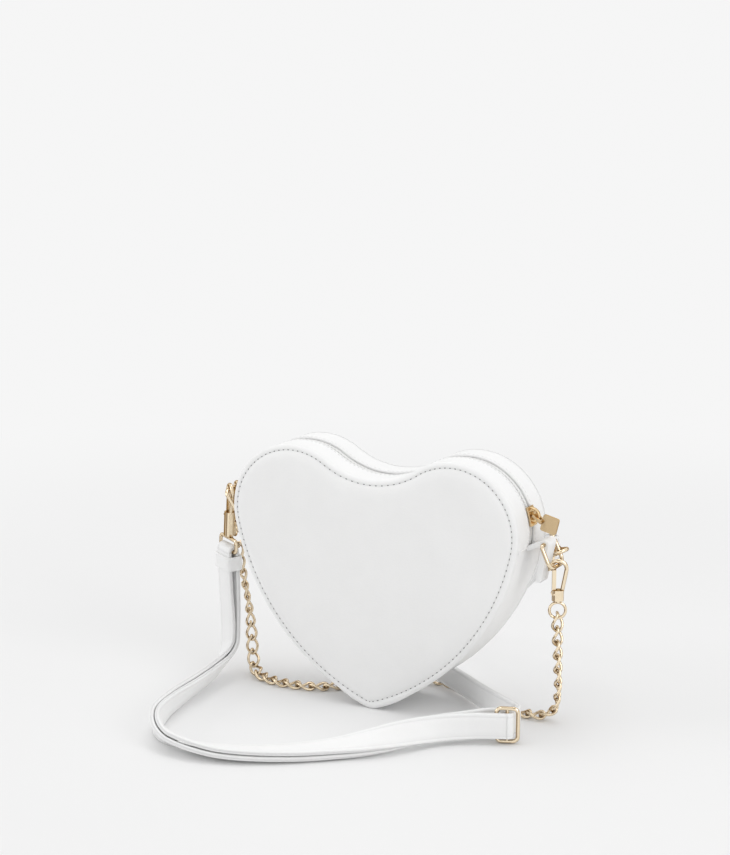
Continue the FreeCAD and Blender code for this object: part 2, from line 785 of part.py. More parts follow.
def strap(left_bar, left_edge, rear_bar, rear_edge, rear_heading):
    """The strap's runs and folds, its keepers and the slider buckle."""
    bar_shift = strap_eye_wire / 2 + strap_bar_gap + strap_thickness / 2
    pair_shift = (strap_pair_gap + strap_thickness) / 2
    inner = strap_eye_wire / 2 + strap_bar_gap
    buckle_inner = buckle_wire / 2 + strap_bar_gap
    through_shift = buckle_inner + 2 * strap_thickness
    route = [tuple(left_bar), tuple(left_bar + V(*pair_lead))] + pair_route_after_lead
    stations = smooth_route(route)
    edges = [tuple(left_edge)] + pair_edge_shares[1:]
    middle_shifts = [bar_shift] * 2 + [pair_shift] * (len(route) - 5) + [bar_shift]
    near = [-shift for shift in middle_shifts + [bar_shift] * 2]
    save("strap_tail_run", ribbon(stations, edges, near))
    far = middle_shifts + [through_shift] * 2
    save("strap_through_run", ribbon(stations, edges, far))
    place, heading, _ = stations[0]
    edge = (left_edge - heading * left_edge.dot(heading)).normalize()
    save("strap_left_fold", fold(place, edge, heading.cross(edge), -180, inner))
    stack = bar_shift + strap_thickness / 2
    save("strap_left_keeper", sleeve(place + heading * keeper_distance, heading, edge, stack))
    end, heading, _ = stations[-1]
    heading = V(heading.x, heading.y, 0).normalize()
    front = heading.cross(up)
    save("slider_buckle", rounded_frame(end, heading, up))
    save("strap_tail_loop", fold(end, up, front, tail_loop_turn, buckle_inner))
    turn_centre = end - front * (through_shift + buckle_fold_radius)
    back_points = [tuple(rear_bar), tuple(rear_bar + rear_heading * rear_lead_length)]
    back_points += back_route_after_lead
    gap = V(*back_points[-1]) - turn_centre
    gap = V(gap.x, gap.y, 0)
    lean = math.degrees(math.acos(buckle_fold_radius / gap.Length))
    outward = FreeCAD.Rotation(up, -lean).multVec(gap.normalize())
    finish = turn_centre + outward * buckle_fold_radius
    sweep = math.degrees(front.getAngle(outward))
    save("strap_buckle_fold", fold(turn_centre, up, front, sweep,
                                   buckle_fold_radius - strap_thickness / 2))
    back_points.append(tuple(finish))
    back_stations = smooth_route(back_points)
    shifts = [bar_shift, bar_shift] + [0] * (len(back_points) - 2)
    uprights = [tuple(rear_edge)] + [(0, 0, 1)] * (len(back_points) - 1)
    save("strap_back_run", ribbon(back_stations, uprights, shifts))
    place, heading, _ = back_stations[0]
    edge = (rear_edge - heading * rear_edge.dot(heading)).normalize()
    normal = heading.cross(edge)
    save("strap_rear_fold", fold(place, edge, normal, -180, inner))
    lap = [(place, heading, 0), (place + heading * lap_length, heading, 1)]
    save("strap_rear_lap", ribbon(lap, [tuple(edge)] * 2, [-bar_shift] * 2))
    save("strap_rear_keeper", sleeve(place + heading * keeper_distance, heading, edge, stack))


def link_solid(length):
    """One oval link of many sided wire, its long side along local X."""
    radius = link_wire / 2
    reach = length / 2 - link_half_width
    places = []
    for side, centre in ((1, reach), (-1, -reach)):
        for k in range(link_end_steps + 1):
            angle = math.pi * (k / link_end_steps - side / 2)
            bend = V(math.cos(angle), math.sin(angle), 0) * link_half_width
            places.append(V(centre, 0, 0) + bend)
    count = len(places)
    rings = []
    for i, place in enumerate(places):
        back = (places[i - 1] - place).normalize()
        ahead = (places[(i + 1) % count] - place).normalize()
        heading = (ahead - back).normalize()
        outward = V(heading.y, -heading.x, 0)
        stretch = 1 / math.sin(back.getAngle(ahead) / 2)
        rings.append([place + outward * (radius * stretch * math.cos(2 * math.pi * k / wire_sides))
                      + up * (radius * math.sin(2 * math.pi * k / wire_sides))
                      for k in range(wire_sides)])
    faces = []
    for i, ring in enumerate(rings):
        other = rings[(i + 1) % count]
        for k in range(wire_sides):
            n = (k + 1) % wire_sides
            faces.append(Part.Face(Part.makePolygon([ring[k], other[k], other[n], ring[n], ring[k]])))
    solid = Part.Solid(Part.Shell(faces))
    return solid if solid.Volume > 0 else solid.reversed()


def route_joints(points, pitch):
    """Places along a route that lie a whole number of equal chords apart."""
    line = [place for place, _, _ in smooth_route(points)]
    total = sum((b - a).Length for a, b in zip(line, line[1:]))
    count = round(total / pitch)

    def walk(step):
        joints, at, low, i = [line[0]], line[0], line[0], 0
        while True:
            while i + 1 < len(line) and (line[i + 1] - at).Length < step:
                i += 1
                low = line[i]
            if i + 1 >= len(line):
                return joints, (line[-1] - at).Length
            first, last = 0.0, 1.0
            for _ in range(40):
                middle = (first + last) / 2
                if (low + (line[i + 1] - low) * middle - at).Length < step:
                    first = middle
                else:
                    last = middle
            at = low + (line[i + 1] - low) * last
            low = at
            joints.append(at)

    short, long = pitch * pitch_low_share, pitch * pitch_high_share
    for _ in range(50):
        step = (short + long) / 2
        joints, _ = walk(step)
        if len(joints) > count:
            short = step
        else:
            long = step
    joints, rest = walk(short)
    print("links", len(joints) - 1, "pitch", round(short, 3), "left over", round(rest, 4))
    return joints


def chain(right_eye, left_eye, link_start):
    """The chain's links, each through the next, from one hook's eye to the other's."""
    drop = chain_eye_radius - chain_eye_wire / 2 - link_play
    seat = up * (drop - link_wire / 2)
    points = [tuple(right_eye - seat)] + chain_route_between_hooks + [tuple(left_eye - seat)]
    joints = route_joints(points, link_pitch)
    solid = None
    links = []
    side = link_start
    for i, (first, last) in enumerate(zip(joints, joints[1:])):
        chord = last - first
        if solid is None:
            solid = link_solid(chord.Length + link_wire + link_play)
        heading = V(chord).normalize()
        side = (side - heading * side.dot(heading)).normalize()
        normal = heading.cross(side)
        sign = 1 if i % 2 else -1
        wide = (side + normal * sign).normalize()
        link = solid.copy()
        link.Placement = axes_placement((first + last) / 2, heading, wide, heading.cross(wide))
        links.append(link)
    save("chain_links", Part.makeCompound(links))
    print("last link lies", round(math.degrees(math.atan2(wide.y, wide.x)), 1))


def main():
    os.makedirs("parts", exist_ok=True)
    panels()
    walls()
    lining()
    zip_tracks()
    zip_stops()
    zip_slider()
    zip_pull()
    tabs_and_rings()
    right_wire = ring_point(1, right_chain_hook_y, ring_depth)
    right_eye, _ = place_hook("right_chain_hook", right_wire, up, turned(right_chain_hook_turn),
                              chain_hook_stem, chain_eye(), turned(right_chain_hook_turn))
    leaning = direction(90 - left_hook_tilt)
    left_wire = ring_point(-1, left_chain_hook_y, ring_depth)
    left_eye, _ = place_hook("left_chain_hook", left_wire, leaning, turned(left_chain_hook_turn),
                             chain_hook_stem, chain_eye(), turned(left_eye_turn))
    left_wire = ring_point(-1, left_strap_hook_y, ring_depth)
    left_bar, left_edge = place_hook("left_strap_hook", left_wire, leaning, turned(left_strap_hook_turn),
                                     strap_hook_stem, strap_eye(), V(*pair_edge_shares[0]))
    _, hang = ring_place(1)
    level = across * math.cos(math.radians(rear_hook_turn))
    inward = across.cross(hang) * math.sin(math.radians(rear_hook_turn))
    rear_heading = level + inward
    rear_wire = ring_point(1, ring_half_width, rear_hook_depth)
    rear_bar, rear_edge = place_hook("rear_strap_hook", rear_wire, rear_heading * -1,
                                     hang.cross(rear_heading), strap_hook_stem, strap_eye(), up)
    strap(left_bar, left_edge, rear_bar, rear_edge, rear_heading)
    chain(right_eye, left_eye, turned(right_link_turn))


main()
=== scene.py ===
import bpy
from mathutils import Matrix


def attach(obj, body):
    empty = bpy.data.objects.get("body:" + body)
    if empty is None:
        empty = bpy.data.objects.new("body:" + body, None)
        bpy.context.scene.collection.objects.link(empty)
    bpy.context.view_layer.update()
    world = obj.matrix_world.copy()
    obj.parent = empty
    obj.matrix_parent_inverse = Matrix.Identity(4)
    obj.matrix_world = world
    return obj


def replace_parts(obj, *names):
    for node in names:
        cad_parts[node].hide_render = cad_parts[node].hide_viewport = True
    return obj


bl_info = {
    "name": "Heart Shoulder Bag",
    "version": (1, 0, 0),
    "blender": (4, 5, 0),
    "location": "3D View > Sidebar > Heart Bag",
    "description": "Dresses a heart shaped leather bag with its strap, chain and fittings",
    "category": "Object",
}

import math

import bpy
import numpy as np
from mathutils import Vector

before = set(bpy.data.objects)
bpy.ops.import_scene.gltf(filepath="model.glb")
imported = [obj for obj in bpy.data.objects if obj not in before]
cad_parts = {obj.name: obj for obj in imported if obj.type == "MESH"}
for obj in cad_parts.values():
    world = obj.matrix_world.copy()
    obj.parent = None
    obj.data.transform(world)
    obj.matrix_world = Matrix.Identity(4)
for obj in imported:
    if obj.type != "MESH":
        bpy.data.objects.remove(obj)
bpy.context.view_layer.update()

MM = 0.001
BAG = "bag"
UP = np.array([0.0, 0.0, 1.0])

# Steps of the grids along the lower wall, the upper strips and tapes, the zip's closed ends,
# small curves and the strap's sewn lap
WALL_STEPS = 161
STRIP_STEPS = 181
END_STEPS = 21
CURVE_STEPS = 25
LAP_STEPS = 9

# Heart outline, millimetres
LOBE_RADIUS = 45.0
LOBE_X = 55.0
LOBE_Z = 120.0
HOLLOW_RADIUS = 55.0
FLANK_RADIUS = 150.0
TIP_RADIUS = 13.0
SEAM_HEIGHT = 112.0

# Walls between the panels and the welts at their side seams: millimetres, and shares of the walls' sag and
# of the inner depth
INNER_DEPTH = 20.45
WALL_INSET = 1.5
WALL_THICKNESS = 1.6
ZIP_GAP = 3.2
STRIP_ROUNDING = 0.25
STRIP_SAG_SHARE = 0.35
WELT_INSET = 1.45
WELT_HEIGHT = 0.7
WELT_WIDTH = 0.9
WELT_SAG_SHARE = 0.5
WELT_REACH_SHARE = 0.985

# Rings of a panel from its hidden inner face round the rolled edge: millimetres in from the outline,
# millimetres out from the bag's middle, and how rubbed the first of them are
RING_INSETS = np.array([
    4.0, 2.6, 1.75, 1.52, 1.5, 1.58, 1.85, 2.35, 3.05, 3.8, 4.5, 4.9, 5.3, 6.1, 8.0, 11.0,
])
RING_DEPTHS = np.array([
    21.0, 21.0, 20.5, 20.5, 20.8, 21.3, 21.85, 22.35, 22.75, 22.95, 22.92, 22.55, 22.92, 23.45, 24.2, 24.9,
])
RING_RUBBED = np.array([0.0, 0.0, 0.1, 0.1, 0.05, 0.0, 0.0, 0.0, 0.0, 0.0, 0.04, 0.12, 0.04])

# The last ring shrinks to these shares of its size towards the panel's middle, millimetres up, where the
# panel swells by a share of the crown
PANEL_SHRINK_SHARES = np.array([0.92, 0.84, 0.74, 0.62, 0.48, 0.34, 0.20, 0.08, 0.01])
PANEL_MIDDLE_Z = 92.0
PANEL_STEPS = 480
CROWN_SHARE = 0.6

# The hide's slow wave: its height in millimetres, and its turns in radians for each millimetre
HIDE_WAVE = 0.3
HIDE_TURNS = (0.055, 0.03, 0.045, 0.02)

# Shares of the outline's length from the tip at which the rolled edge has left the floor, and over which it
# does so
TIP_FAR_SHARE = 0.07
TIP_BLEND_SHARE = 0.05

# Stitches: millimetres in from the outline and out from the middle, and shares of the pitch. The zip's seam
# has a shorter pitch, and a share of the outline's length stays bare at its ends
STITCH_INSET = 4.9
THREAD_RADIUS = 0.36
THREAD_END_SHARES = (0.12, 0.88)
THREAD_DEPTH = 22.7
THREAD_SHARE = 0.66
HOLE_DEPTH = 22.68
HOLE_SHARE = 0.34
ZIP_SEAM_INSET = 1.7
ZIP_SEAM_DEPTH = 5.4
ZIP_SEAM_PITCH_SHARE = 0.8
ZIP_SEAM_SHARE = 0.7
ZIP_SEAM_BARE_SHARE = 0.004

# Zip tapes, and the cloth between them that closes the zip's ends, millimetres
TAPE_NEAR = 1.4
TAPE_FAR = 10.0
TAPE_INSET = 3.15
TAPE_THICKNESS = 0.7
TAPE_ROUNDING = 0.1
END_HALF_WIDTH = 1.5
END_INSET = 3.3
END_THICKNESS = 0.4

# How far up the lobes the zip's ends are closed, in degrees above the lobes' middles
SLIDER_FOOT = 6.6
TEETH_FOOT = 14.4

# The zip pull's pin, millimetres across and up, and the slider's bridge over it, with the power that squares
# off its section
PULL_PIN = (100.116, 131.667)
BRIDGE_HALF_LENGTH = 4.9
BRIDGE_HEIGHT = 5.6
BRIDGE_DROP = 3.0
BRIDGE_WIDTH = 2.2
BRIDGE_THICKNESS = 1.2
BRIDGE_POWER = 0.5

# Strap section, its layers' distances from their middle line, its folds and its keepers, millimetres
STRAP_WIDTH = 16.0
STRAP_THICKNESS = 2.8
BAR_SHIFT = 2.8
PAIR_SHIFT = 1.8
THROUGH_SHIFT = 7.1
TAIL_RADIUS = 2.9
TURN_RADIUS = 6.0
LAP_LENGTH = 20.0
KEEPER_DISTANCE = 7.6
KEEPER_LENGTH = 9.6
KEEPER_HALF_WIDTH = 8.3
KEEPER_HALF_DEPTH = 4.5
KEEPER_WALL = 1.6

# The strap's rounded edges, a share of its thickness squared off by a power, and in millimetres the shoulder
# of its crowned face, out from the middle, and the lines pressed along it, in from its edges
STRAP_EDGE_SHARE = 0.42
STRAP_EDGE_POWER = 0.75
STRAP_SHOULDER = 3.0
PRESSED_LINE_INSET = 2.2
PRESSED_LINE_HALF_WIDTH = 0.45

# Powers that square off a keeper's loop and its section, and the turns of the strap's folds in degrees
KEEPER_LOOP_POWER = 0.35
KEEPER_SECTION_POWER = 0.4
HOOK_TURN = -180.0
TAIL_TURN = 250.0

# Route of the doubled strap from the left hook to the slider buckle, millimetres, and the way that one of
# its edges looks at each of those points
PAIR_ROUTE = np.array([
    (-114.63, -3.5, 84.12), (-115.0, -1.93, 60.05), (-114.5, -1.5, 32.0), (-113.5, -5.5, 14.5),
    (-110.5, -28.0, 9.6), (-106.5, -64.0, 9.2), (-102.5, -98.0, 9.0), (-92.0, -127.0, 9.0),
    (-69.0, -144.0, 7.8), (-38.0, -142.5, 5.2), (-6.0, -126.0, 4.2), (21.0, -105.0, 5.0),
    (39.0, -90.0, 7.9), (51.0, -73.0, 9.4), (63.0, -58.0, 9.8), (77.0, -47.5, 10.8),
    (90.0, -42.0, 11.8), (100.5, -38.0, 11.8),
])
PAIR_EDGES = np.array([
    (0.864, -0.501, -0.045), (0.865, -0.50, 0.0), (0.85, -0.45, 0.15), (0.70, -0.30, 0.55),
    (0.52, -0.05, 0.85), (0.45, 0.00, 0.88), (0.22, 0.04, 0.97), (-0.12, -0.10, 0.98),
    (-0.20, -0.82, 0.53), (0.28, -0.93, 0.20), (0.50, -0.86, 0.05), (0.58, -0.80, -0.15),
    (0.60, -0.62, -0.50), (0.46, -0.32, -0.83), (0.24, -0.18, -0.95), (0.08, -0.10, -0.99),
    (0.0, 0.0, -1.0), (0.0, 0.0, -1.0),
])

# Route of the single strap from the rear hook to the slider buckle, millimetres, and the way that its edge
# looks at the hook
BACK_ROUTE = np.array([
    (92.40, 44.80, 99.22), (77.63, 70.67, 92.65), (57.0, 88.0, 65.0), (29.0, 105.0, 46.0),
    (-2.0, 118.0, 27.0), (-35.0, 122.0, 12.5), (-66.0, 110.0, 8.6), (-84.0, 84.0, 8.6),
    (-76.0, 58.0, 10.8), (-48.0, 46.5, 13.6), (-16.0, 43.0, 15.2), (10.0, 38.0, 14.4),
    (29.0, 31.5, 10.8), (47.0, 20.5, 9.2), (73.0, -4.0, 11.8), (97.5, -20.6, 11.8),
])
REAR_EDGE = (-0.1069, 0.1872, 0.9765)

# Route of the chain from the right hook's eye to the left hook's eye, millimetres
CHAIN_ROUTE = np.array([
    (114.79, 2.0, 71.13), (114.8, 4.0, 43.0), (114.0, 8.0, 18.0), (110.5, 10.0, 4.2),
    (94.0, 7.0, 2.45), (74.0, 16.0, 2.45), (54.0, 27.0, 2.45), (33.0, 37.0, 2.45), (12.0, 42.0, 2.45),
    (-8.0, 39.0, 2.45), (-22.0, 23.0, 2.45), (-32.0, 3.0, 2.45), (-48.0, -9.5, 2.45),
    (-70.0, -12.0, 2.45), (-89.0, -7.5, 2.65), (-100.0, 2.5, 4.4), (-104.5, 8.5, 19.0),
    (-107.5, 10.5, 44.0), (-113.5, 10.0, 70.0), (-113.96, 5.2, 93.95),
])

# The way the chain's flat side looks at each of those points
CHAIN_FACES = np.array([
    (-0.87, 0.49, 0.0), (-0.996, -0.087, 0.0), (-0.89, -0.454, 0.0), (-0.75, -0.2, 0.6),
    (0.0, 0.0, 1.0), (0.0, 0.0, 1.0), (0.0, 0.0, 1.0), (0.0, 0.0, 1.0), (0.0, 0.0, 1.0),
    (0.0, 0.0, 1.0), (0.0, 0.0, 1.0), (0.0, 0.0, 1.0), (0.0, 0.0, 1.0),
    (0.0, 0.0, 1.0), (0.0, 0.0, 1.0), (0.3, -0.25, 0.9), (0.8, -0.6, 0.15),
    (0.94, 0.34, 0.0), (0.42, 0.91, 0.0), (-0.31, 0.95, 0.0),
])

# Links of the chain: millimetres, the turn of their ends in radians, a share that squares them off, and the
# steps round a link and its wire
LINK_HALF_WIDTH = 3.3
LINK_WIRE_RADIUS = 0.9
LINK_OVERLAP = 2.9
LINK_TWIST = 1.0
LINK_SQUARE_SHARE = 0.06
LINK_STEPS = 32
WIRE_SIDES = 10

# Gold plating: the way its painted highlight looks, the brown of its painted dark reflections, the painted
# shade in its hollows, and its gloss's tint at grazing angles
GLEAM = (0.42, -0.80, 0.43)
DARK_REFLECTION_BROWN = (0.20, 0.11, 0.04, 1.0)
HOLLOW_SHADE = (0.10, 0.05, 0.02, 1.0)
EDGE_TINT = (0.45, 0.30, 0.16, 1.0)

# Bars of the D rings, millimetres across and up, and the tabs folded round them: millimetres, shares of the
# roll, and the roll's first and last angle in degrees
RIGHT_BAR = (108.69, 115.78)
LEFT_BAR = (104.0, 112.5)
TAB_ROLL = 2.98
TAB_HALF_WIDTH = 6.0
TAB_FLAP = 24.0
TAB_LEAN = 5.2
TAB_FOOT = 3.4
TAB_BELLY = 0.1
TAB_WRAP = (118.0, -8.0)
TAB_HEEL_SHARE = 0.85
TAB_HEEL_DROP = 4.0
TAB_ARM_SHARE = 1.1
TAB_ARM_DROP = 2.0
TAB_SEAM_INSET = 2.2
TAB_SEAM_HALF_HEIGHT = 1.7

# Softboxes: name, place, aim and size in metres, power in watts
SOFTBOXES = (
    ("overhead_softbox", (-0.1, 0.15, 1.6), (0.0, 0.0, 0.06), 1.2, 5.2),
    ("left_softbox", (-1.9, -0.9, 0.8), (0.0, 0.0, 0.08), 1.0, 7.2),
    ("right_softbox", (1.7, -0.5, 0.9), (0.05, 0.0, 0.08), 1.0, 7.0),
)

# The sky's strength at the horizon and overhead, and its colour
HORIZON_LIGHT = 0.54
OVERHEAD_LIGHT = 0.8
WHITE = (1.0, 1.0, 1.0, 1.0)

# The floor's half size, and where it runs out into the background, metres
FLOOR_HALF_SIZE = 6.0
FLOOR_FADE_NEAR = 0.3
FLOOR_FADE_FAR = 0.9

# The camera's place, aim and reach in metres, its lens and sensor in millimetres
CAMERA_PLACE = (0.5515, -1.0637, 0.4215)
CAMERA_AIM = (-0.0153, -0.0003, 0.1742)
CAMERA_LENS = 83.36
CAMERA_SENSOR = 36.0
CAMERA_REACH = 50.0


class HeartBagSettings(bpy.types.PropertyGroup):
    """Sizes and colours of the bag's dress."""
    leather_colour: bpy.props.FloatVectorProperty(
        name="Leather", description="Colour of the bag and the strap", subtype="COLOR", size=3,
        default=(0.92, 0.92, 0.917), min=0.0, max=1.0)
    metal_colour: bpy.props.FloatVectorProperty(
        name="Metal", description="Colour of the hooks, rings and chain", subtype="COLOR", size=3,
        default=(0.94, 0.80, 0.59), min=0.0, max=1.0)
    zip_colour: bpy.props.FloatVectorProperty(
        name="Zip", description="Colour of the zip's tapes and teeth", subtype="COLOR", size=3,
        default=(0.91, 0.91, 0.90), min=0.0, max=1.0)
    lining_colour: bpy.props.FloatVectorProperty(
        name="Lining", description="Colour of the cloth inside", subtype="COLOR", size=3,
        default=(0.62, 0.58, 0.53), min=0.0, max=1.0)
    floor_colour: bpy.props.FloatVectorProperty(
        name="Floor", description="Colour of the floor and the background", subtype="COLOR", size=3,
        default=(0.92, 0.92, 0.92), min=0.0, max=1.0)
    panel_crown: bpy.props.FloatProperty(
        name="Panel crown", description="How far the padded panels swell in their middle",
        default=0.0016, min=0.0, max=0.01, unit="LENGTH")
    wall_sag: bpy.props.FloatProperty(
        name="Wall sag", description="How far the side walls sink between the panels",
        default=0.0012, min=0.0, max=0.005, unit="LENGTH")
    stitch_pitch: bpy.props.FloatProperty(
        name="Stitch pitch", description="Distance from one stitch to the next",
        default=0.0038, min=0.001, max=0.01, unit="LENGTH")
    link_pitch: bpy.props.FloatProperty(
        name="Link pitch", description="Distance from one chain link to the next",
        default=0.0091, min=0.002, max=0.02, unit="LENGTH")


def settings():
    return bpy.context.scene.heart_bag


class Sock:
    """A shader socket that takes part in sums, differences, products and powers."""

    def __init__(self, finish, socket):
        self.finish = finish
        self.socket = socket

    def _math(self, operation, first, second):
        return self.finish.out("ShaderNodeMath", {"operation": operation}, {0: first, 1: second})

    def __add__(self, other):
        return self._math("ADD", self, other)

    def __sub__(self, other):
        return self._math("SUBTRACT", self, other)

    def __rsub__(self, other):
        return self._math("SUBTRACT", other, self)

    def __mul__(self, other):
        return self._math("MULTIPLY", self, other)

    def __pow__(self, other):
        return self._math("POWER", self, other)

    __radd__ = __add__
    __rmul__ = __mul__


class Nodes:
    """A node tree under construction, of a material or of the world."""

    def __init__(self, tree):
        self.tree = tree

    def node(self, kind, options, sockets):
        made = self.tree.nodes.new(kind)
        for key, value in options.items():
            setattr(made, key, value)
        for key, value in sockets.items():
            self.put(made.inputs[key], value)
        return made

    def out(self, kind, options, sockets, output=0):
        return Sock(self, self.node(kind, options, sockets).outputs[output])

    def put(self, socket, value):
        if isinstance(value, Sock):
            self.tree.links.new(value.socket, socket)
        else:
            socket.default_value = value

    def place(self):
        return self.out("ShaderNodeTexCoord", {}, {}, "Object")

    def noise(self, scale, detail):
        """Clouds with scale repeats in a metre."""
        return self.out("ShaderNodeTexNoise", {}, {
            "Vector": self.place(), "Scale": scale, "Detail": detail, "Roughness": 0.55}, 0)

    def ramp(self, value, low, high):
        """Rises smoothly from nought at low to one at high."""
        return self.out("ShaderNodeMapRange", {"interpolation_type": "SMOOTHSTEP"}, {
            "Value": value, "From Min": low, "From Max": high})

    def mix(self, factor, first, second):
        return self.out("ShaderNodeMix", {"data_type": "RGBA"}, {0: factor, 6: first, 7: second}, 2)

    def pale_rays(self):
        """One for the rays that see the plain background: from the camera, a mirror or through glass."""
        path = self.node("ShaderNodeLightPath", {}, {})
        kinds = ("Is Camera Ray", "Is Glossy Ray", "Is Transmission Ray")
        return sum(Sock(self, path.outputs[kind]) for kind in kinds)


class Finish(Nodes):
    """A material under construction, with its principled shader."""

    def __init__(self, name):
        self.material = bpy.data.materials.new(name)
        self.material.use_nodes = True
        super().__init__(self.material.node_tree)
        self.shader = self.tree.nodes["Principled BSDF"]

    def set(self, **values):
        """Sets the shader's sockets, named with underscores for spaces, to values or other sockets."""
        for key, value in values.items():
            self.put(self.shader.inputs[key.replace("_", " ")], value)

    def bump(self, height, strength, distance):
        self.put(self.shader.inputs["Normal"], self.out("ShaderNodeBump", {}, {
            "Height": height, "Strength": strength, "Distance": distance}))


def tone(colour, factor):
    return tuple(c * factor for c in colour) + (1.0,)


def leather_finish():
    """Fine pebbled leather: cells of under a millimetre, slow mottling, and darker worn or raw edges."""
    colour = tuple(settings().leather_colour)
    finish = Finish("white_leather")
    cells = finish.out("ShaderNodeTexVoronoi", {"feature": "SMOOTH_F1"}, {
        "Vector": finish.place(), "Scale": 1100.0, "Smoothness": 0.6}, "Distance")
    creases = finish.noise(scale=420.0, detail=4.0)
    mottle = finish.noise(scale=38.0, detail=2.0)
    base = finish.mix(mottle, tone(colour, 0.965), tone(colour, 1.02))
    base = finish.mix(cells * 0.10, base, tone(colour, 0.86))
    edge = finish.out("ShaderNodeAttribute", {"attribute_name": "cut_edge"}, {}, "Fac")
    base = finish.mix(edge * (0.35 + creases * 0.4), base, tone(colour, 0.62))
    finish.set(Base_Color=base, Roughness=0.44 + creases * 0.14 + edge * 0.1, Specular_IOR_Level=0.42)
    finish.bump(cells * 0.7 + creases * 0.5, strength=0.16, distance=0.0004)
    return finish.material


def metal_finish(name, depth, contrast):
    """Polished gold plating with painted reflections: pale, a painted highlight, where the surface looks
    along GLEAM, with sharp brown stripes of painted dark reflection that turn with its normal, cloudy wear in
    the gloss, and painted shade in the hollows, where ambient occlusion finds nearby surfaces.

    Depth raises the saturation, and contrast is how brown the painted reflection stripes are."""
    colour = [c ** depth for c in settings().metal_colour]
    finish = Finish(name)
    cloud = finish.noise(scale=240.0, detail=3.0)
    fine = finish.noise(scale=2600.0, detail=2.0)
    # Painted shade in the hollows: ambient occlusion darkens the colour where nearby surfaces close in
    unoccluded = finish.out("ShaderNodeAmbientOcclusion", {"samples": 8, "only_local": True}, {
        "Distance": 0.0014}, "AO")
    # Painted reflections: brown stripes that turn with the normal, and a painted highlight where the normal
    # looks along GLEAM
    turned = finish.out("ShaderNodeTexCoord", {}, {}, "Normal")
    drift = finish.out("ShaderNodeTexNoise", {}, {"Vector": turned, "Scale": 2.7, "Detail": 0.5}, 0)
    reflection_stripes = finish.ramp(drift, low=0.38, high=0.48)
    along = finish.out("ShaderNodeVectorMath", {"operation": "DOT_PRODUCT"}, {0: turned, 1: GLEAM}, "Value")
    looks = finish.out("ShaderNodeMath", {"operation": "ABSOLUTE"}, {0: along})
    face = finish.ramp(looks, low=0.0, high=0.45)
    pale = finish.mix(cloud, tone(colour, 0.94), tone(colour, 1.06))
    shine = reflection_stripes * (0.25 + face * 0.75)
    plating = finish.mix(1.0 - contrast * (1.0 - shine), DARK_REFLECTION_BROWN, pale)
    finish.set(Base_Color=finish.mix(unoccluded ** 0.7, HOLLOW_SHADE, plating), Roughness=0.09 + cloud * 0.12,
               Metallic=1.0, Specular_Tint=EDGE_TINT)
    finish.bump(fine, strength=0.03, distance=0.0002)
    return finish.material


def weave_finish(name, colour, scale):
    """Plain woven cloth: two crossing sets of threads, one raised where the other dips."""
    finish = Finish(name)
    place = finish.place()
    warp = finish.out("ShaderNodeTexWave", {"bands_direction": "Y"}, {
        "Vector": place, "Scale": scale, "Distortion": 0.3}, "Fac")
    weft = finish.out("ShaderNodeTexWave", {"bands_direction": "DIAGONAL"}, {
        "Vector": place, "Scale": scale, "Distortion": 0.3}, "Fac")
    threads = warp * (1.0 - weft) + weft * (1.0 - warp)
    finish.set(Base_Color=finish.mix(threads, tone(colour, 0.82), tone(colour, 1.0)), Roughness=0.85)
    finish.bump(threads, strength=0.35, distance=0.0003)
    return finish.material


def plastic_finish():
    """Moulded white teeth with a slight cloudiness."""
    colour = tuple(settings().zip_colour)
    finish = Finish("moulded_zip_teeth")
    cloud = finish.noise(scale=500.0, detail=2.0)
    finish.set(Base_Color=finish.mix(cloud, tone(colour, 0.9), tone(colour, 1.04)),
               Roughness=0.3 + cloud * 0.15)
    finish.bump(cloud, strength=0.05, distance=0.0002)
    return finish.material


def thread_finish():
    """Waxed sewing thread with a twist across it."""
    finish = Finish("waxed_thread")
    twist = finish.noise(scale=1800.0, detail=2.0)
    colour = tuple(settings().leather_colour)
    finish.set(Base_Color=finish.mix(twist, tone(colour, 0.84), tone(colour, 1.0)), Roughness=0.6)
    finish.bump(twist, strength=0.2, distance=0.0002)
    return finish.material


def hole_finish():
    """Painted shade in the needle holes: a dark grey mark at each end of a stitch, a little uneven."""
    finish = Finish("needle_hole_shade")
    hole_shade_speckle = finish.noise(scale=900.0, detail=2.0)
    finish.set(Base_Color=finish.mix(hole_shade_speckle, (0.16, 0.16, 0.16, 1.0), (0.26, 0.26, 0.26, 1.0)), Roughness=0.9)
    return finish.material


def board_finish():
    """Grey pressed board with loose fibres."""
    finish = Finish("pressed_board")
    fibre = finish.noise(scale=700.0, detail=5.0)
    finish.set(Base_Color=finish.mix(fibre, (0.40, 0.37, 0.33, 1.0), (0.52, 0.49, 0.44, 1.0)), Roughness=0.9)
    finish.bump(fibre, strength=0.2, distance=0.0003)
    return finish.material


MATERIALS = {}


def material(name):
    """Each finish is made once, on first use."""
    makers = {
        "leather": leather_finish,
        "metal": lambda: metal_finish("pale_gold_plating", depth=1.0, contrast=0.85),
        "zip_metal": lambda: metal_finish("deep_gold_plating", depth=1.6, contrast=0.4),
        "tape": lambda: weave_finish("zip_tape_weave", tuple(settings().zip_colour), scale=420.0),
        "lining": lambda: weave_finish("lining_weave", tuple(settings().lining_colour), scale=300.0),
        "teeth": plastic_finish,
        "thread": thread_finish,
        "hole": hole_finish,
        "board": board_finish,
    }
    if name not in MATERIALS:
        MATERIALS[name] = makers[name]()
    return MATERIALS[name]


def dress(node, finish):
    """Gives a solid that stays in sight its finish."""
    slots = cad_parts[node].data.materials
    slots.clear()
    slots.append(material(finish))


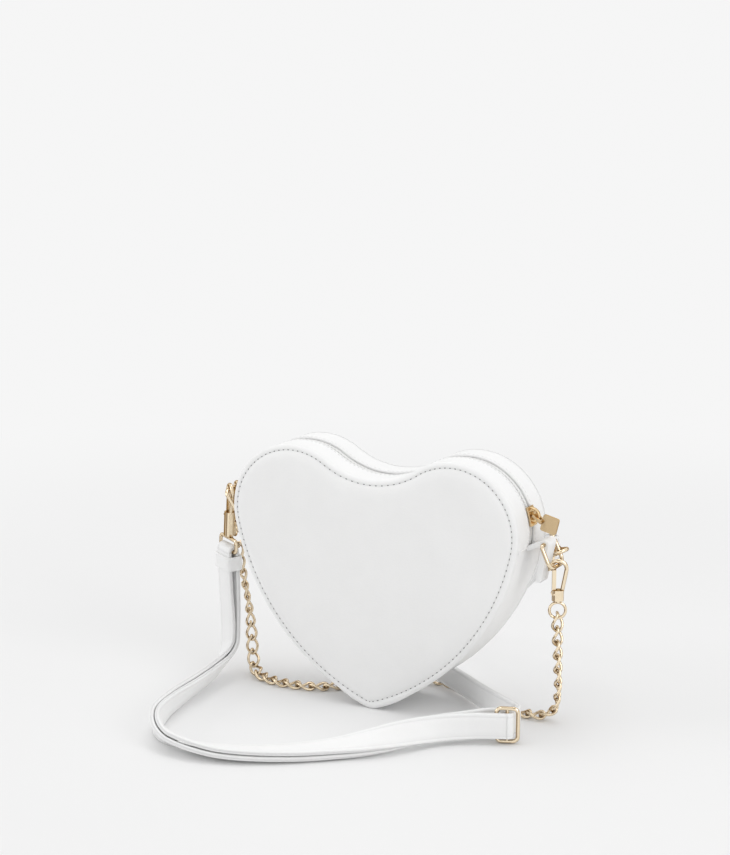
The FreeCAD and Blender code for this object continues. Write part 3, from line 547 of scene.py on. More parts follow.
def piece(name, grid, finish, wrap_u=False, wrap_v=True, body=BAG, cut_edge=None):
    """Makes closed solids from grids of points: quads between neighbours, and caps on open ends.

    grid holds copies, then u, then v, then x, y, z in millimetres. The signed volume, a sum of
    p0 . (p1 x p2) over the triangles, tells which way round the faces go."""
    grid = np.asarray(grid, float)
    if grid.ndim == 3:
        grid = grid[None]
    copies, nu, nv, _ = grid.shape
    index = np.arange(copies * nu * nv).reshape(copies, nu, nv)
    ahead = np.roll(index, -1, 1) if wrap_u else index[:, 1:]
    here = index if wrap_u else index[:, :-1]
    aside = np.roll(here, -1, 2) if wrap_v else here[:, :, 1:]
    ahead_aside = np.roll(ahead, -1, 2) if wrap_v else ahead[:, :, 1:]
    if not wrap_v:
        here, ahead = here[:, :, :-1], ahead[:, :, :-1]
    quads = np.stack([here, ahead, ahead_aside, aside], -1).reshape(-1, 4)
    caps = []
    if wrap_v and not wrap_u:
        caps = list(index[:, 0, :]) + list(index[:, -1, ::-1])
    if wrap_u and not wrap_v:
        caps = list(index[:, ::-1, 0]) + list(index[:, :, -1])
    points = grid.reshape(-1, 3) * MM
    corner = points[quads]
    size = (np.einsum("ij,ij", corner[:, 0], np.cross(corner[:, 1], corner[:, 2]))
            + np.einsum("ij,ij", corner[:, 0], np.cross(corner[:, 2], corner[:, 3])))
    for cap in caps:
        ring = points[cap]
        size += np.einsum("ij,ij", np.repeat(ring[:1], len(ring) - 2, 0), np.cross(ring[1:-1], ring[2:]))
    if size < 0:
        quads = quads[:, ::-1]
        caps = [cap[::-1] for cap in caps]
    loops = np.concatenate([quads.ravel()] + [np.asarray(cap) for cap in caps])
    lengths = np.concatenate([np.full(len(quads), 4), np.array([len(cap) for cap in caps], int)])
    starts = np.concatenate([[0], np.cumsum(lengths)[:-1]])
    mesh = bpy.data.meshes.new(name)
    mesh.vertices.add(len(points))
    mesh.vertices.foreach_set("co", points.ravel())
    mesh.loops.add(len(loops))
    mesh.loops.foreach_set("vertex_index", loops.astype(np.int32))
    mesh.polygons.add(len(starts))
    mesh.polygons.foreach_set("loop_start", starts.astype(np.int32))
    mesh.polygons.foreach_set("use_smooth", np.ones(len(starts), bool))
    if cut_edge is not None:
        layer = mesh.attributes.new("cut_edge", "FLOAT", "POINT")
        layer.data.foreach_set("value", np.broadcast_to(cut_edge, (copies, nu, nv)).ravel())
    mesh.update(calc_edges=True)
    mesh.validate()
    made = bpy.data.objects.new(name, mesh)
    bpy.context.scene.collection.objects.link(made)
    made.data.materials.append(material(finish))
    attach(made, body)
    return made


def outline_arcs():
    """The heart's arcs in order from the tip, right side first: centre, radius, side and two angles."""
    lobe = np.array([LOBE_X, LOBE_Z])
    tip = np.array([0.0, TIP_RADIUS])
    hollow = np.array([0.0, LOBE_Z + math.sqrt((LOBE_RADIUS + HOLLOW_RADIUS) ** 2 - LOBE_X ** 2)])
    near, far = FLANK_RADIUS - LOBE_RADIUS, FLANK_RADIUS - TIP_RADIUS
    spine = tip - lobe
    span = np.linalg.norm(spine)
    unit = spine / span
    foot = (near ** 2 - far ** 2 + span ** 2) / (2 * span)
    flank = lobe + unit * foot + np.array([unit[1], -unit[0]]) * math.sqrt(near ** 2 - foot ** 2)
    low = math.atan2(*(tip - flank)[::-1])
    middle = math.atan2(*(lobe - flank)[::-1])
    high = math.atan2(*(hollow - lobe)[::-1])
    right = [
        (tip, TIP_RADIUS, 1, -math.pi / 2, low),
        (flank, FLANK_RADIUS, 1, low, middle),
        (lobe, LOBE_RADIUS, 1, middle, high),
        (hollow, HOLLOW_RADIUS, -1, high + math.pi, 1.5 * math.pi),
    ]
    left = [(c * [-1, 1], r, s, math.pi - b, math.pi - a) for c, r, s, a, b in right[::-1]]
    arcs = right + left
    return [np.array([arc[0][0] for arc in arcs]), np.array([arc[0][1] for arc in arcs])] + [
        np.array([arc[k] for arc in arcs], float) for k in range(1, 5)]


ARC_X, ARC_Z, ARC_R, ARC_SIDE, ARC_FIRST, ARC_LAST = outline_arcs()
ARC_LENGTH = np.abs(ARC_LAST - ARC_FIRST) * ARC_R
ARC_END = np.cumsum(ARC_LENGTH)
OUTLINE = ARC_END[-1]


def outline(share, grow):
    """Point and outward normal at a share of the heart's length; centres stay as the edge moves by grow.

    x = cx + (r + side * grow) * cos a and z = cz + (r + side * grow) * sin a on each arc."""
    along = np.mod(share, 1.0) * OUTLINE
    k = np.minimum(np.searchsorted(ARC_END, along, side="right"), len(ARC_END) - 1)
    part = (along - (ARC_END - ARC_LENGTH)[k]) / ARC_LENGTH[k]
    angle = ARC_FIRST[k] + (ARC_LAST - ARC_FIRST)[k] * part
    reach = ARC_R[k] + ARC_SIDE[k] * grow
    return (ARC_X[k] + reach * np.cos(angle), ARC_Z[k] + reach * np.sin(angle),
            ARC_SIDE[k] * np.cos(angle), ARC_SIDE[k] * np.sin(angle))


SEAM_SHARE = (ARC_LENGTH[0] + ARC_LENGTH[1]
              + (math.asin((SEAM_HEIGHT - LOBE_Z) / LOBE_RADIUS) - ARC_FIRST[2]) * LOBE_RADIUS) / OUTLINE


def panel_grid(side, crown):
    """Rings from the hidden inner face, round the rolled edge, over a sewn groove to the padded middle.

    The rings follow the outline at set insets, and near the tip the rolled edge reaches down to the
    floor. Further in they shrink towards the middle by q, and the face swells by crown * (1 - q ** 3)
    with a slow wave, sin(ax + bz) * cos(cz - dx), as hide has. The second array marks rubbed leather."""
    share = np.arange(PANEL_STEPS) / PANEL_STEPS
    from_tip = np.minimum(share, 1 - share)
    reach = np.clip((TIP_FAR_SHARE - from_tip) / TIP_BLEND_SHARE, 0, 1)
    edge = np.clip((STITCH_INSET - RING_INSETS) / (STITCH_INSET - WALL_INSET), 0, 1)
    down = WALL_INSET * edge[:, None] * reach ** 2 * (3 - 2 * reach)
    x, z, _, _ = outline(share[None], down - RING_INSETS[:, None])
    q = PANEL_SHRINK_SHARES[:, None]
    x = np.concatenate([x, x[-1] * q])
    z = np.concatenate([z, PANEL_MIDDLE_Z + (z[-1] - PANEL_MIDDLE_Z) * q])
    swell = crown / MM * CROWN_SHARE * (1 - PANEL_SHRINK_SHARES ** 3)
    y = np.concatenate([RING_DEPTHS, RING_DEPTHS[-1] + swell])
    soft = np.concatenate([np.zeros(len(RING_DEPTHS)), 1 - PANEL_SHRINK_SHARES])[:, None]
    a, b, c, d = HIDE_TURNS
    wave = HIDE_WAVE * np.sin(a * x + b * z) * np.cos(c * z - d * x)
    worn = np.concatenate([RING_RUBBED, np.zeros(len(y) - len(RING_RUBBED))])[:, None]
    return np.stack([x, side * (y[:, None] + soft * wave), z], -1), worn


def band_grid(first, last, count, inset, depth):
    """A strip along the outline from one share to another, with a closed section of inset and depth."""
    share = np.linspace(first, last, count)
    x, z, _, _ = outline(share[:, None], -inset[None])
    return np.stack([x, np.broadcast_to(depth[None], x.shape), z], -1)


def wall_section(first, last, outer, thickness, sag, edge):
    """A closed strip section: an outer face that sinks by sag * (1 - s ** 2), rounded ends, an inner face."""
    s = np.linspace(-1, 1, 11)
    face = outer + sag * (1 - s ** 2)
    y = (first + last) / 2 + s * (last - first) / 2
    face[[0, -1]] += edge
    inner = face[::-1] + thickness
    inner[[0, -1]] -= 2 * edge
    return np.concatenate([face, inner]), np.concatenate([y, y[::-1]])


def welt_grid(sag):
    """Two thin rolls across the wall, where the lower wall meets the upper strips: ellipses along Y."""
    s = np.linspace(-WELT_REACH_SHARE, WELT_REACH_SHARE, CURVE_STEPS)
    share = np.array([SEAM_SHARE, 1 - SEAM_SHARE])[:, None]
    x, z, nx, nz = outline(share, -(WELT_INSET + sag * WELT_SAG_SHARE * (1 - s ** 2))[None])
    v = np.arange(8) * math.pi / 4
    outward = np.stack(np.broadcast_arrays(nx, 0 * x, nz), -1)
    along = np.stack(np.broadcast_arrays(-nz, 0 * x, nx), -1)
    centre = np.stack([x, np.broadcast_to(s * INNER_DEPTH, x.shape), z], -1)
    return (centre[:, :, None] + WELT_HEIGHT * outward[:, :, None] * np.cos(v)[:, None]
            + WELT_WIDTH * along[:, :, None] * np.sin(v)[:, None])


def stitch_grid(centre, along, outward, lift, length, radius):
    """Small spindles: centre + along * a cos u + outward * b sin u cos v + lift * b sin u sin v.

    Their ends are cut off, as u runs between two shares of a half turn."""
    u = np.linspace(*THREAD_END_SHARES, 5)[:, None, None] * math.pi
    v = np.arange(6)[None, :, None] * math.pi / 3
    return (centre[:, None, None] + along[:, None, None] * length / 2 * np.cos(u)
            + outward[:, None, None] * radius * np.sin(u) * np.cos(v)
            + lift[:, None, None] * radius * np.sin(u) * np.sin(v))


def outline_stitches(first, last, inset, depth, pitch, part, lead):
    """Stitches along the outline, each as long as a part of the pitch.

    Lead moves them on by a share of the pitch."""
    count = int((last - first) * OUTLINE / pitch)
    share = first + (np.arange(count) + 0.5 + lead) / count * (last - first)
    x, z, nx, nz = outline(share, -inset)
    zero = np.zeros(count)
    centre = np.stack([x, zero + depth, z], -1)
    outward = np.stack([nx, zero, nz], -1)
    along = np.stack([-nz, zero, nx], -1)
    lift = np.tile(np.array([0.0, math.copysign(1, depth), 0.0]), (count, 1))
    return stitch_grid(centre, along, outward, lift, pitch * part, THREAD_RADIUS)


def spline_points(route):
    """Points of the smooth NURBS curve that has the route, in metres, as its control points."""
    curve = bpy.data.curves.new("route", "CURVE")
    curve.dimensions = "3D"
    curve.resolution_u = 12
    line = curve.splines.new("NURBS")
    line.points.add(len(route) - 1)
    line.points.foreach_set("co", np.c_[route * MM, np.ones(len(route))].ravel())
    line.order_u = 3
    line.use_endpoint_u = True
    holder = bpy.data.objects.new("route", curve)
    bpy.context.scene.collection.objects.link(holder)
    mesh = bpy.data.meshes.new_from_object(holder)
    points = np.empty(len(mesh.vertices) * 3)
    mesh.vertices.foreach_get("co", points)
    bpy.data.objects.remove(holder)
    bpy.data.curves.remove(curve)
    bpy.data.meshes.remove(mesh)
    return points.reshape(-1, 3) / MM


def unit(v):
    return v / np.linalg.norm(v, axis=-1, keepdims=True)


def squarer(wave, power):
    """A sine or cosine with its circle squared off: its sign times its size to a power under one."""
    return np.sign(wave) * np.abs(wave) ** power


def along_route(table, count):
    """A table with one row for each control point, read at even steps of a curve of order three."""
    table = np.asarray(table, float)
    rows = len(table)
    places = np.concatenate([[0], np.arange(rows - 2) + 0.5, [rows - 2]])
    steps = np.linspace(0, rows - 2, count)
    return np.stack([np.interp(steps, places, column) for column in table.T], -1)


def strip_frames(points, edges):
    """Heading, edge direction and face normal at each point, all square to each other."""
    heading = unit(np.gradient(points, axis=0))
    edge = unit(edges - heading * np.sum(edges * heading, -1, keepdims=True))
    return heading, edge, np.cross(heading, edge)


def strap_section(width, thickness):
    """A flat section: half circles flattened at both ends, crowned faces, a pressed line near each edge.

    Returns the places across the width, through the thickness, and the marks of raw edge and pressed line."""
    angle = np.linspace(-math.pi / 2, math.pi / 2, 9)
    nose = thickness * STRAP_EDGE_SHARE
    bend = squarer(np.sin(angle), STRAP_EDGE_POWER)
    across = width / 2 - nose + nose * np.cos(angle)
    raw = np.array([0, 0, 0, 0.35, 1, 0.35, 0, 0, 0], float)
    line, lip = width / 2 - PRESSED_LINE_INSET, PRESSED_LINE_HALF_WIDTH
    near = np.array([line + lip, line, line - lip, STRAP_SHOULDER])
    face = np.concatenate([near, [0.0], -near[::-1]])
    crown = thickness / 2 * np.array([1.0, 0.84, 1.01, 1.04, 1.05, 1.04, 1.01, 0.84, 1.0])
    pressed = np.array([0.0, 0.3, 0.0, 0.0, 0.0, 0.0, 0.0, 0.3, 0.0])
    wide = np.concatenate([across, face, -across, -face])
    thick = np.concatenate([bend * thickness / 2, crown, -bend * thickness / 2, -crown])
    return wide, thick, np.concatenate([raw, pressed, raw, pressed])


def strip_grid(points, edge, normal, width=STRAP_WIDTH, thickness=STRAP_THICKNESS):
    """The strap's section carried along points: p + edge * wide + normal * thick."""
    wide, thick, raw = strap_section(width, thickness)
    grid = points[:, None] + edge[:, None] * wide[None, :, None] + normal[:, None] * thick[None, :, None]
    return grid, raw


def arc_strip(centre, axis, start, sweep, radius):
    """A strip bent round an axis: centre + radius * (start cos a + (axis x start) sin a)."""
    angle = np.radians(np.linspace(0, sweep, CURVE_STEPS))[:, None]
    side = np.cross(axis, start)
    outward = start * np.cos(angle) + side * np.sin(angle)
    edge = np.broadcast_to(axis, outward.shape)
    return strip_grid(centre + outward * radius, edge, outward)


def loop_grid(place, edge, normal, heading, half_wide, half_thick, wall, length):
    """A flat band bent round a rounded rectangle: a thin upright section carried round the loop."""
    turn = np.linspace(0, 2 * math.pi, 48, endpoint=False)
    c, s = np.cos(turn), np.sin(turn)
    px = squarer(c, KEEPER_LOOP_POWER) * (half_wide + wall / 2)
    py = squarer(s, KEEPER_LOOP_POWER) * (half_thick + wall / 2)
    path = np.stack([px, py], -1)
    tangent = unit(np.roll(path, -1, 0) - np.roll(path, 1, 0))
    out = np.stack([tangent[:, 1], -tangent[:, 0]], -1)
    a = np.linspace(0, 2 * math.pi, 16, endpoint=False)
    su = squarer(np.cos(a), KEEPER_SECTION_POWER) * wall / 2
    sv = squarer(np.sin(a), KEEPER_SECTION_POWER) * length / 2
    flat = path[:, None] + out[:, None] * su[None, :, None]
    return (place + flat[..., :1] * edge + flat[..., 1:] * normal
            + np.broadcast_to(sv[None, :, None], flat[..., :1].shape) * heading)


class HEARTBAG_OT_panels(bpy.types.Operator):
    """Padded front and back panels with their edge stitching"""
    bl_idname = "heart_bag.panels"
    bl_label = "Panels"

    def execute(self, context):
        chosen = settings()
        for name, side in (("front", -1), ("back", 1)):
            grid, worn = panel_grid(side, chosen.panel_crown)
            panel = piece(name + "_leather", grid, "leather", cut_edge=worn)
            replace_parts(panel, name + "_panel")
            pitch = chosen.stitch_pitch / MM
            thread = outline_stitches(0, 1, STITCH_INSET, side * THREAD_DEPTH, pitch, THREAD_SHARE, lead=0)
            piece(name + "_edge_stitches", thread, "thread")
            # Dark grey spindles between the stitches: painted shade in the needle holes
            holes = outline_stitches(0, 1, STITCH_INSET, side * HOLE_DEPTH, pitch, HOLE_SHARE, lead=0.5)
            piece(name + "_needle_hole_shade", holes, "hole")
            dress(name + "_stiffener", "board")
        return {"FINISHED"}


class HEARTBAG_OT_walls(bpy.types.Operator):
    """Side walls round the tip and beside the zip, with their stitching and the lining inside"""
    bl_idname = "heart_bag.walls"
    bl_label = "Walls"

    def execute(self, context):
        chosen = settings()
        sag = chosen.wall_sag / MM
        inset, depth = wall_section(-INNER_DEPTH, INNER_DEPTH, WALL_INSET, WALL_THICKNESS, sag, edge=0.0)
        lower = piece("lower_wall", band_grid(-SEAM_SHARE, SEAM_SHARE, WALL_STEPS, inset, depth),
                      "leather")
        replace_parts(lower, "lower_gusset")
        for name, side in (("front", -1), ("rear", 1)):
            first, last = sorted((side * ZIP_GAP, side * INNER_DEPTH))
            inset, depth = wall_section(first, last, WALL_INSET, WALL_THICKNESS, sag * STRIP_SAG_SHARE,
                                        STRIP_ROUNDING)
            strip = piece("upper_wall_" + name,
                          band_grid(SEAM_SHARE, 1 - SEAM_SHARE, STRIP_STEPS, inset, depth), "leather")
            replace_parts(strip, "upper_gusset_" + name)
            start = SEAM_SHARE + ZIP_SEAM_BARE_SHARE
            pitch = chosen.stitch_pitch / MM * ZIP_SEAM_PITCH_SHARE
            seam = outline_stitches(start, 1 - start, ZIP_SEAM_INSET, side * ZIP_SEAM_DEPTH, pitch,
                                    ZIP_SEAM_SHARE, lead=0)
            piece("zip_seam_" + name, seam, "thread")
        piece("side_welts", welt_grid(sag), "leather")
        dress("lining", "lining")
        return {"FINISHED"}


def bridge_grid():
    """The slider's arched bridge, a flat bar bent over the pull's pin along the zip.

    Its middle is pin + t * a cos u + n * (b sin u - drop), with t along the lobe and n out of it, and its
    section is a rounded rectangle, wide along Y."""
    reach = np.array([PULL_PIN[0] - LOBE_X, PULL_PIN[1] - LOBE_Z])
    out = np.array([reach[0], 0.0, reach[1]]) / np.linalg.norm(reach)
    along = np.array([-out[2], 0.0, out[0]])
    u = np.linspace(0, math.pi, CURVE_STEPS)[:, None]
    pin = np.array([PULL_PIN[0], 0.0, PULL_PIN[1]])
    middle = pin + along * BRIDGE_HALF_LENGTH * np.cos(u) + out * (BRIDGE_HEIGHT * np.sin(u) - BRIDGE_DROP)
    heading = unit(np.gradient(middle, axis=0))
    across = np.array([0.0, 1.0, 0.0])
    lift = np.cross(heading, across)
    v = np.arange(16) * math.pi / 8
    wide = squarer(np.cos(v), BRIDGE_POWER) * BRIDGE_WIDTH / 2
    thick = squarer(np.sin(v), BRIDGE_POWER) * BRIDGE_THICKNESS / 2
    return middle[:, None] + across * wide[None, :, None] + lift[:, None] * thick[None, :, None]


class HEARTBAG_OT_zip(bpy.types.Operator):
    """Woven zip tapes, the slider's bridge, and the finish of teeth, stops, slider and pull"""
    bl_idname = "heart_bag.zip"
    bl_label = "Zip"

    def execute(self, context):
        for name, side in (("front", -1), ("rear", 1)):
            first, last = sorted((side * TAPE_NEAR, side * TAPE_FAR))
            inset, depth = wall_section(first, last, TAPE_INSET, TAPE_THICKNESS, sag=0.0, edge=TAPE_ROUNDING)
            tape = piece("zip_tape_cloth_" + name,
                         band_grid(SEAM_SHARE, 1 - SEAM_SHARE, STRIP_STEPS, inset, depth), "tape")
            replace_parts(tape, "zip_tape_" + name)
        inset, depth = wall_section(-END_HALF_WIDTH, END_HALF_WIDTH, END_INSET, END_THICKNESS, sag=0.0,
                                    edge=0.0)
        for name, side, top in (("right", 1, SLIDER_FOOT), ("left", -1, TEETH_FOOT)):
            closed = math.radians(top) - math.asin((SEAM_HEIGHT - LOBE_Z) / LOBE_RADIUS)
            last = SEAM_SHARE + closed * LOBE_RADIUS / OUTLINE
            end = band_grid(SEAM_SHARE, last, END_STEPS, inset, depth) * np.array([side, 1, 1])
            piece("zip_tape_end_" + name, end, "tape")
        finishes = {"zip_teeth_front": "teeth", "zip_teeth_rear": "teeth", "zip_end_stops": "zip_metal",
                    "zip_slider": "zip_metal", "zip_pull": "zip_metal"}
        for node, finish in finishes.items():
            dress(node, finish)
        piece("slider_bridge", bridge_grid(), "zip_metal", body="zip_slider")
        return {"FINISHED"}


def tab_grid(bar_x, bar_z):
    """A tab in profile, from the seam over the ring's bar and down as a flap, carried across its width.

    The profile runs round the leather; at both sides it moves in along its own normal, so edges are round."""
    roll = np.radians(np.linspace(*TAB_WRAP, 12))
    over = np.stack([bar_x + TAB_ROLL * np.cos(roll), bar_z + TAB_ROLL * np.sin(roll)], -1)
    foot_x, foot_z = bar_x + TAB_ROLL - TAB_LEAN, bar_z - TAB_FLAP
    s = np.linspace(0, 1, 9)[1:, None]
    belly = TAB_BELLY * np.sin(s * math.pi)
    outer = over[-1] + (np.array([foot_x, foot_z]) - over[-1]) * s + belly * np.array([1.0, 0.2])
    heel = np.array([bar_x - TAB_ROLL * TAB_HEEL_SHARE, bar_z - TAB_HEEL_DROP])
    toe = np.array([foot_x - TAB_FOOT, foot_z])
    inner = toe + (heel - toe) * s
    wall = LOBE_X + LOBE_RADIUS - TAB_SEAM_INSET
    arm = np.array([
        (bar_x - TAB_ROLL * TAB_ARM_SHARE, bar_z - TAB_ARM_DROP),
        (wall, SEAM_HEIGHT - TAB_SEAM_HALF_HEIGHT), (wall, SEAM_HEIGHT + TAB_SEAM_HALF_HEIGHT)])
    profile = np.concatenate([over, outer, [toe], inner, arm])
    tangent = unit(np.roll(profile, -1, 0) - np.roll(profile, 1, 0))
    inward = np.stack([tangent[:, 1], -tangent[:, 0]], -1)
    y = np.array([-1.0, -0.985, -0.93, -0.7, 0.0, 0.7, 0.93, 0.985, 1.0]) * TAB_HALF_WIDTH
    shy = np.array([0.45, 0.16, 0.0, 0.0, 0.0, 0.0, 0.0, 0.16, 0.45])
    flat = profile[None] + inward[None] * shy[:, None, None]
    return np.stack([flat[..., 0], np.broadcast_to(y[:, None], flat.shape[:2]), flat[..., 1]], -1)


class HEARTBAG_OT_fittings(bpy.types.Operator):
    """Folded leather tabs, and the finish of rings, hooks and buckle"""
    bl_idname = "heart_bag.fittings"
    bl_label = "Fittings"

    def execute(self, context):
        for name, side, bar in (("right", 1, RIGHT_BAR), ("left", -1, LEFT_BAR)):
            grid = tab_grid(*bar) * np.array([side, 1, 1])
            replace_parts(piece(name + "_leather_tab", grid, "leather"), name + "_tab")
        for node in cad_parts:
            if "hook" in node or node.endswith("d_ring") or node == "slider_buckle":
                dress(node, "metal")
        return {"FINISHED"}


class HEARTBAG_OT_strap(bpy.types.Operator):
    """The leather strap: two layers to the buckle, one layer behind the bag, its folds and keepers"""
    bl_idname = "heart_bag.strap"
    bl_label = "Strap"

    def execute(self, context):
        points = spline_points(PAIR_ROUTE)
        count = len(points)
        heading, edge, normal = strip_frames(points, along_route(PAIR_EDGES, count))
        rows = len(PAIR_ROUTE)
        middle = [BAR_SHIFT] * 2 + [PAIR_SHIFT] * (rows - 5) + [BAR_SHIFT]
        near = along_route(-np.array(middle + [BAR_SHIFT] * 2)[:, None], count)
        far = along_route(np.array(middle + [THROUGH_SHIFT] * 2)[:, None], count)
        for name, node, shift in (("strap_tail", "strap_tail_run", near),
                                  ("strap_through", "strap_through_run", far)):
            self.free_run(name, node, points + normal * shift, edge, normal)
        self.fold("strap_hook_fold", "strap_left_fold", points[0], edge[0], normal[0], HOOK_TURN, BAR_SHIFT)
        self.keeper("strap_hook_keeper", "strap_left_keeper", points[0], edge[0], normal[0], heading[0])
        ahead = unit(heading[-1] * [1, 1, 0])
        front = np.cross(ahead, UP)
        end = points[-1]
        self.fold("strap_tail_end", "strap_tail_loop", end, UP, front, TAIL_TURN, TAIL_RADIUS)
        turn = end - front * (THROUGH_SHIFT + TURN_RADIUS)
        gap = (BACK_ROUTE[-2] - turn) * [1, 1, 0]
        reach = np.linalg.norm(gap)
        lean = -math.acos(TURN_RADIUS / reach)
        gap = gap / reach
        outward = np.array([gap[0] * math.cos(lean) - gap[1] * math.sin(lean),
                            gap[0] * math.sin(lean) + gap[1] * math.cos(lean), 0.0])
        sweep = math.degrees(math.acos(float(front @ outward)))
        self.fold("strap_buckle_turn", "strap_buckle_fold", turn, UP, front, sweep, TURN_RADIUS)
        route = BACK_ROUTE.copy()
        route[-1] = turn + outward * TURN_RADIUS
        self.back_run(route)
        return {"FINISHED"}

    def back_run(self, route):
        """The single layer behind the bag, and its sewn end round the rear hook's loop."""
        points = spline_points(route)
        edges = np.tile(UP, (len(route), 1))
        edges[0] = REAR_EDGE
        heading, edge, normal = strip_frames(points, along_route(edges, len(points)))
        shift = along_route(np.array([BAR_SHIFT] * 2 + [0.0] * (len(route) - 2))[:, None], len(points))
        self.free_run("strap_back", "strap_back_run", points + normal * shift, edge, normal)
        self.fold("strap_rear_turn", "strap_rear_fold", points[0], edge[0], normal[0], HOOK_TURN, BAR_SHIFT)
        steps = np.linspace(0, LAP_LENGTH, LAP_STEPS)[:, None]
        lap = points[0] + heading[0] * steps - normal[0] * BAR_SHIFT
        grid, raw = strip_grid(lap, np.tile(edge[0], (LAP_STEPS, 1)), np.tile(normal[0], (LAP_STEPS, 1)))
        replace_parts(piece("strap_rear_lap_end", grid, "leather", cut_edge=raw), "strap_rear_lap")
        self.keeper("strap_rear_band", "strap_rear_keeper", points[0], edge[0], normal[0], heading[0])

    def free_run(self, name, node, path, edge, normal):
        """A stretch of the strap that hangs or lies free."""
        grid, raw = strip_grid(path, edge, normal)
        run = piece(name, grid, "leather", cut_edge=raw)
        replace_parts(run, node)
        tuple(path[0] * MM)
        [tuple(p) for p in path * MM]

    def fold(self, name, node, centre, axis, start, sweep, radius):
        """One turn of the strap round a bar."""
        grid, raw = arc_strip(centre, axis, start, sweep, radius)
        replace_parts(piece(name, grid, "leather", cut_edge=raw), node)

    def keeper(self, name, node, bar, edge, normal, heading):
        """A band round both layers, a little way from the hook's bar."""
        place = bar + heading * KEEPER_DISTANCE
        grid = loop_grid(place, edge, normal, heading, KEEPER_HALF_WIDTH, KEEPER_HALF_DEPTH, KEEPER_WALL,
                         KEEPER_LENGTH)
        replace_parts(piece(name, grid, "leather", wrap_u=True), node)


class HEARTBAG_OT_chain(bpy.types.Operator):
    """The curb chain's twisted links along its route"""
    bl_idname = "heart_bag.chain"
    bl_label = "Chain"

    def execute(self, context):
        points = spline_points(CHAIN_ROUTE)
        steps = np.concatenate([[0], np.cumsum(np.linalg.norm(np.diff(points, axis=0), axis=1))])
        count = round(steps[-1] * MM / settings().link_pitch)
        places = np.linspace(0, steps[-1], count + 1)
        joints = np.stack([np.interp(places, steps, column) for column in points.T], -1)
        heading = unit(np.diff(joints, axis=0))
        faces = along_route(CHAIN_FACES, len(points))
        middles = (places[1:] + places[:-1]) / 2
        faces = np.stack([np.interp(middles, steps, column) for column in faces.T], -1)
        lift = unit(faces - heading * np.sum(faces * heading, -1, keepdims=True))
        wide = np.cross(lift, heading)
        grid = self.links(joints, heading, wide, lift, steps[-1] / count)
        links = piece("chain", grid, "metal", wrap_u=True)
        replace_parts(links, "chain_links")
        return {"FINISHED"}

    def links(self, joints, heading, wide, lift, pitch):
        """Oval links of round wire, twisted so that the chain lies flat like a curb.

        The wire's middle is (a cos t, b sin t cos f, b sin t sin f) with a turn f = twist * cos t that
        grows to the ends, and its tube is a circle about that line."""
        t = np.linspace(0, 2 * math.pi, LINK_STEPS, endpoint=False)
        length = (pitch + LINK_OVERLAP) / 2
        across = LINK_HALF_WIDTH * np.sin(t) * (1 - LINK_SQUARE_SHARE * np.cos(2 * t))
        turn = LINK_TWIST * np.cos(t)
        line = np.stack([length * np.cos(t), across * np.cos(turn), across * np.sin(turn)], -1)
        along = unit(np.roll(line, -1, 0) - np.roll(line, 1, 0))
        out = unit(np.cross(along, UP))
        rise = np.cross(out, along)
        v = np.linspace(0, 2 * math.pi, WIRE_SIDES, endpoint=False)
        local = (line[:, None] + out[:, None] * LINK_WIRE_RADIUS * np.cos(v)[None, :, None]
                 + rise[:, None] * LINK_WIRE_RADIUS * np.sin(v)[None, :, None])
        centre = (joints[1:] + joints[:-1]) / 2
        return (centre[:, None, None] + local[None, ..., :1] * heading[:, None, None]
                + local[None, ..., 1:2] * wide[:, None, None] + local[None, ..., 2:] * lift[:, None, None])


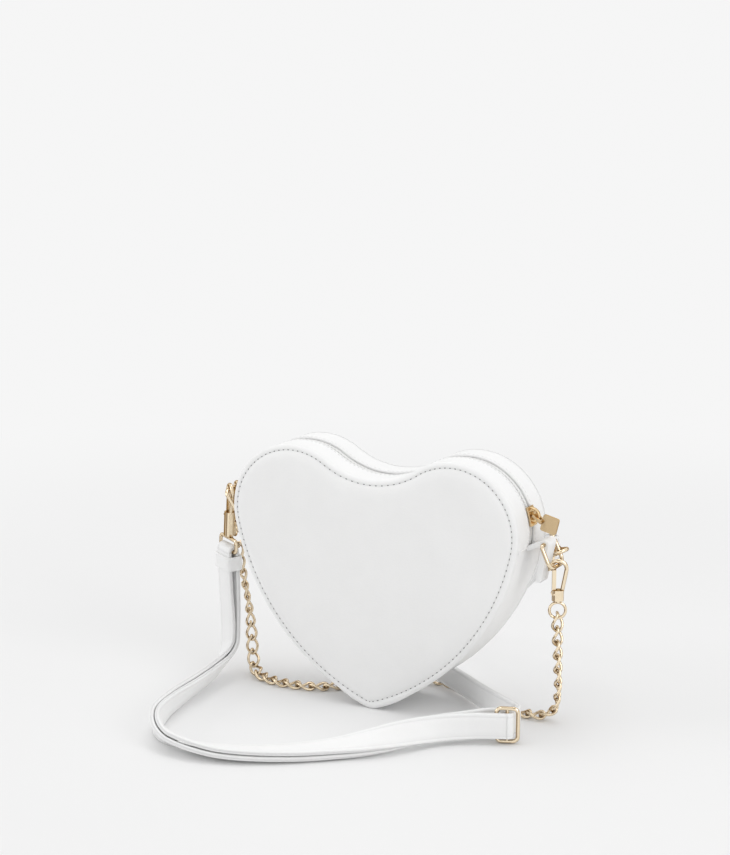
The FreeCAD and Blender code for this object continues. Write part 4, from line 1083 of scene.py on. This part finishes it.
class HEARTBAG_OT_stage(bpy.types.Operator):
    """Pale floor, soft studio light and the camera"""
    bl_idname = "heart_bag.stage"
    bl_label = "Stage"

    def execute(self, context):
        scene = context.scene
        scene.view_settings.view_transform = "Standard"
        colour = tuple(settings().floor_colour) + (1.0,)
        size = FLOOR_HALF_SIZE
        mesh = bpy.data.meshes.new("floor")
        mesh.from_pydata([(-size, -size, 0), (size, -size, 0), (size, size, 0), (-size, size, 0)], [],
                         [(0, 1, 2, 3)])
        floor = bpy.data.objects.new("floor", mesh)
        scene.collection.objects.link(floor)
        mesh.materials.append(self.floor_finish(colour))
        self.world(scene, colour)
        for softbox in SOFTBOXES:
            self.lamp(scene, *softbox)
        camera = bpy.data.cameras.new("photo_camera")
        camera.lens = CAMERA_LENS
        camera.sensor_width = CAMERA_SENSOR
        camera.sensor_fit = "VERTICAL"
        camera.sensor_height = CAMERA_SENSOR
        camera.clip_end = CAMERA_REACH
        holder = bpy.data.objects.new("photo_camera", camera)
        scene.collection.objects.link(holder)
        holder.location = CAMERA_PLACE
        aim = Vector(CAMERA_AIM) - holder.location
        holder.rotation_euler = aim.to_track_quat("-Z", "Y").to_euler()
        scene.camera = holder
        return {"FINISHED"}

    def floor_finish(self, colour):
        """A pale matt floor with the object's shadow on it, that runs out into the background's own colour.

        Only rays that see the background meet the plain colour, more of it the further from the middle."""
        finish = Finish("pale_floor")
        cloud = finish.noise(scale=3.0, detail=2.0)
        finish.set(Base_Color=finish.mix(cloud, tone(colour[:3], 0.92), tone(colour[:3], 0.94)),
                   Roughness=0.9, Specular_IOR_Level=0.1)
        reach = finish.out("ShaderNodeVectorMath", {"operation": "LENGTH"}, {0: finish.place()}, "Value")
        fade = finish.ramp(reach, FLOOR_FADE_NEAR, FLOOR_FADE_FAR)
        plain = finish.out("ShaderNodeEmission", {}, {"Color": colour, "Strength": 1.0})
        both = finish.out("ShaderNodeMixShader", {}, {
            0: fade * finish.pale_rays(), 1: Sock(finish, finish.shader.outputs[0]), 2: plain})
        finish.put(finish.tree.nodes["Material Output"].inputs["Surface"], both)
        return finish.material

    def world(self, scene, colour):
        """A pale sky, brighter overhead than at the horizon, that shows as the floor's own colour."""
        world = bpy.data.worlds.new("pale_studio")
        scene.world = world
        world.use_nodes = True
        world.node_tree.nodes.clear()
        sky = Nodes(world.node_tree)
        way = sky.out("ShaderNodeTexCoord", {}, {}, "Generated")
        height = sky.out("ShaderNodeSeparateXYZ", {}, {0: way}, "Z")
        rise = sky.ramp(height, low=-0.1, high=0.8)
        horizon = sky.out("ShaderNodeBackground", {}, {"Color": WHITE, "Strength": HORIZON_LIGHT})
        overhead = sky.out("ShaderNodeBackground", {}, {"Color": WHITE, "Strength": OVERHEAD_LIGHT})
        light = sky.out("ShaderNodeMixShader", {}, {0: rise, 1: horizon, 2: overhead})
        plain = sky.out("ShaderNodeBackground", {}, {"Color": colour, "Strength": 1.0})
        both = sky.out("ShaderNodeMixShader", {}, {0: sky.pale_rays(), 1: light, 2: plain})
        sky.node("ShaderNodeOutputWorld", {}, {"Surface": both})

    def lamp(self, scene, name, place, aim, size, power):
        """A square softbox turned towards the bag."""
        light = bpy.data.lights.new(name, "AREA")
        light.shape = "SQUARE"
        light.size = size
        light.energy = power
        made = bpy.data.objects.new(name, light)
        scene.collection.objects.link(made)
        made.location = place
        made.rotation_euler = (Vector(aim) - Vector(place)).to_track_quat("-Z", "Y").to_euler()


class HEARTBAG_PT_panel(bpy.types.Panel):
    """Lists the bag's pieces in the sidebar"""
    bl_label = "Heart Bag"
    bl_idname = "HEARTBAG_PT_panel"
    bl_space_type = "VIEW_3D"
    bl_region_type = "UI"
    bl_category = "Heart Bag"

    def draw(self, context):
        layout = self.layout
        for name in HeartBagSettings.__annotations__:
            layout.prop(context.scene.heart_bag, name)
        for operator in OPERATORS:
            layout.operator(operator.bl_idname)


OPERATORS = (HEARTBAG_OT_stage, HEARTBAG_OT_strap, HEARTBAG_OT_chain, HEARTBAG_OT_panels,
             HEARTBAG_OT_walls, HEARTBAG_OT_zip, HEARTBAG_OT_fittings)
CLASSES = (HeartBagSettings,) + OPERATORS + (HEARTBAG_PT_panel,)


def register():
    for cls in CLASSES:
        bpy.utils.register_class(cls)
    bpy.types.Scene.heart_bag = bpy.props.PointerProperty(type=HeartBagSettings)


def unregister():
    del bpy.types.Scene.heart_bag
    for cls in reversed(CLASSES):
        bpy.utils.unregister_class(cls)


def main():
    register()
    bpy.ops.heart_bag.stage()
    bpy.ops.heart_bag.strap()
    bpy.ops.heart_bag.chain()
    bpy.ops.heart_bag.panels()
    bpy.ops.heart_bag.walls()
    bpy.ops.heart_bag.zip()
    bpy.ops.heart_bag.fittings()


if __name__ == "__main__":
    main()
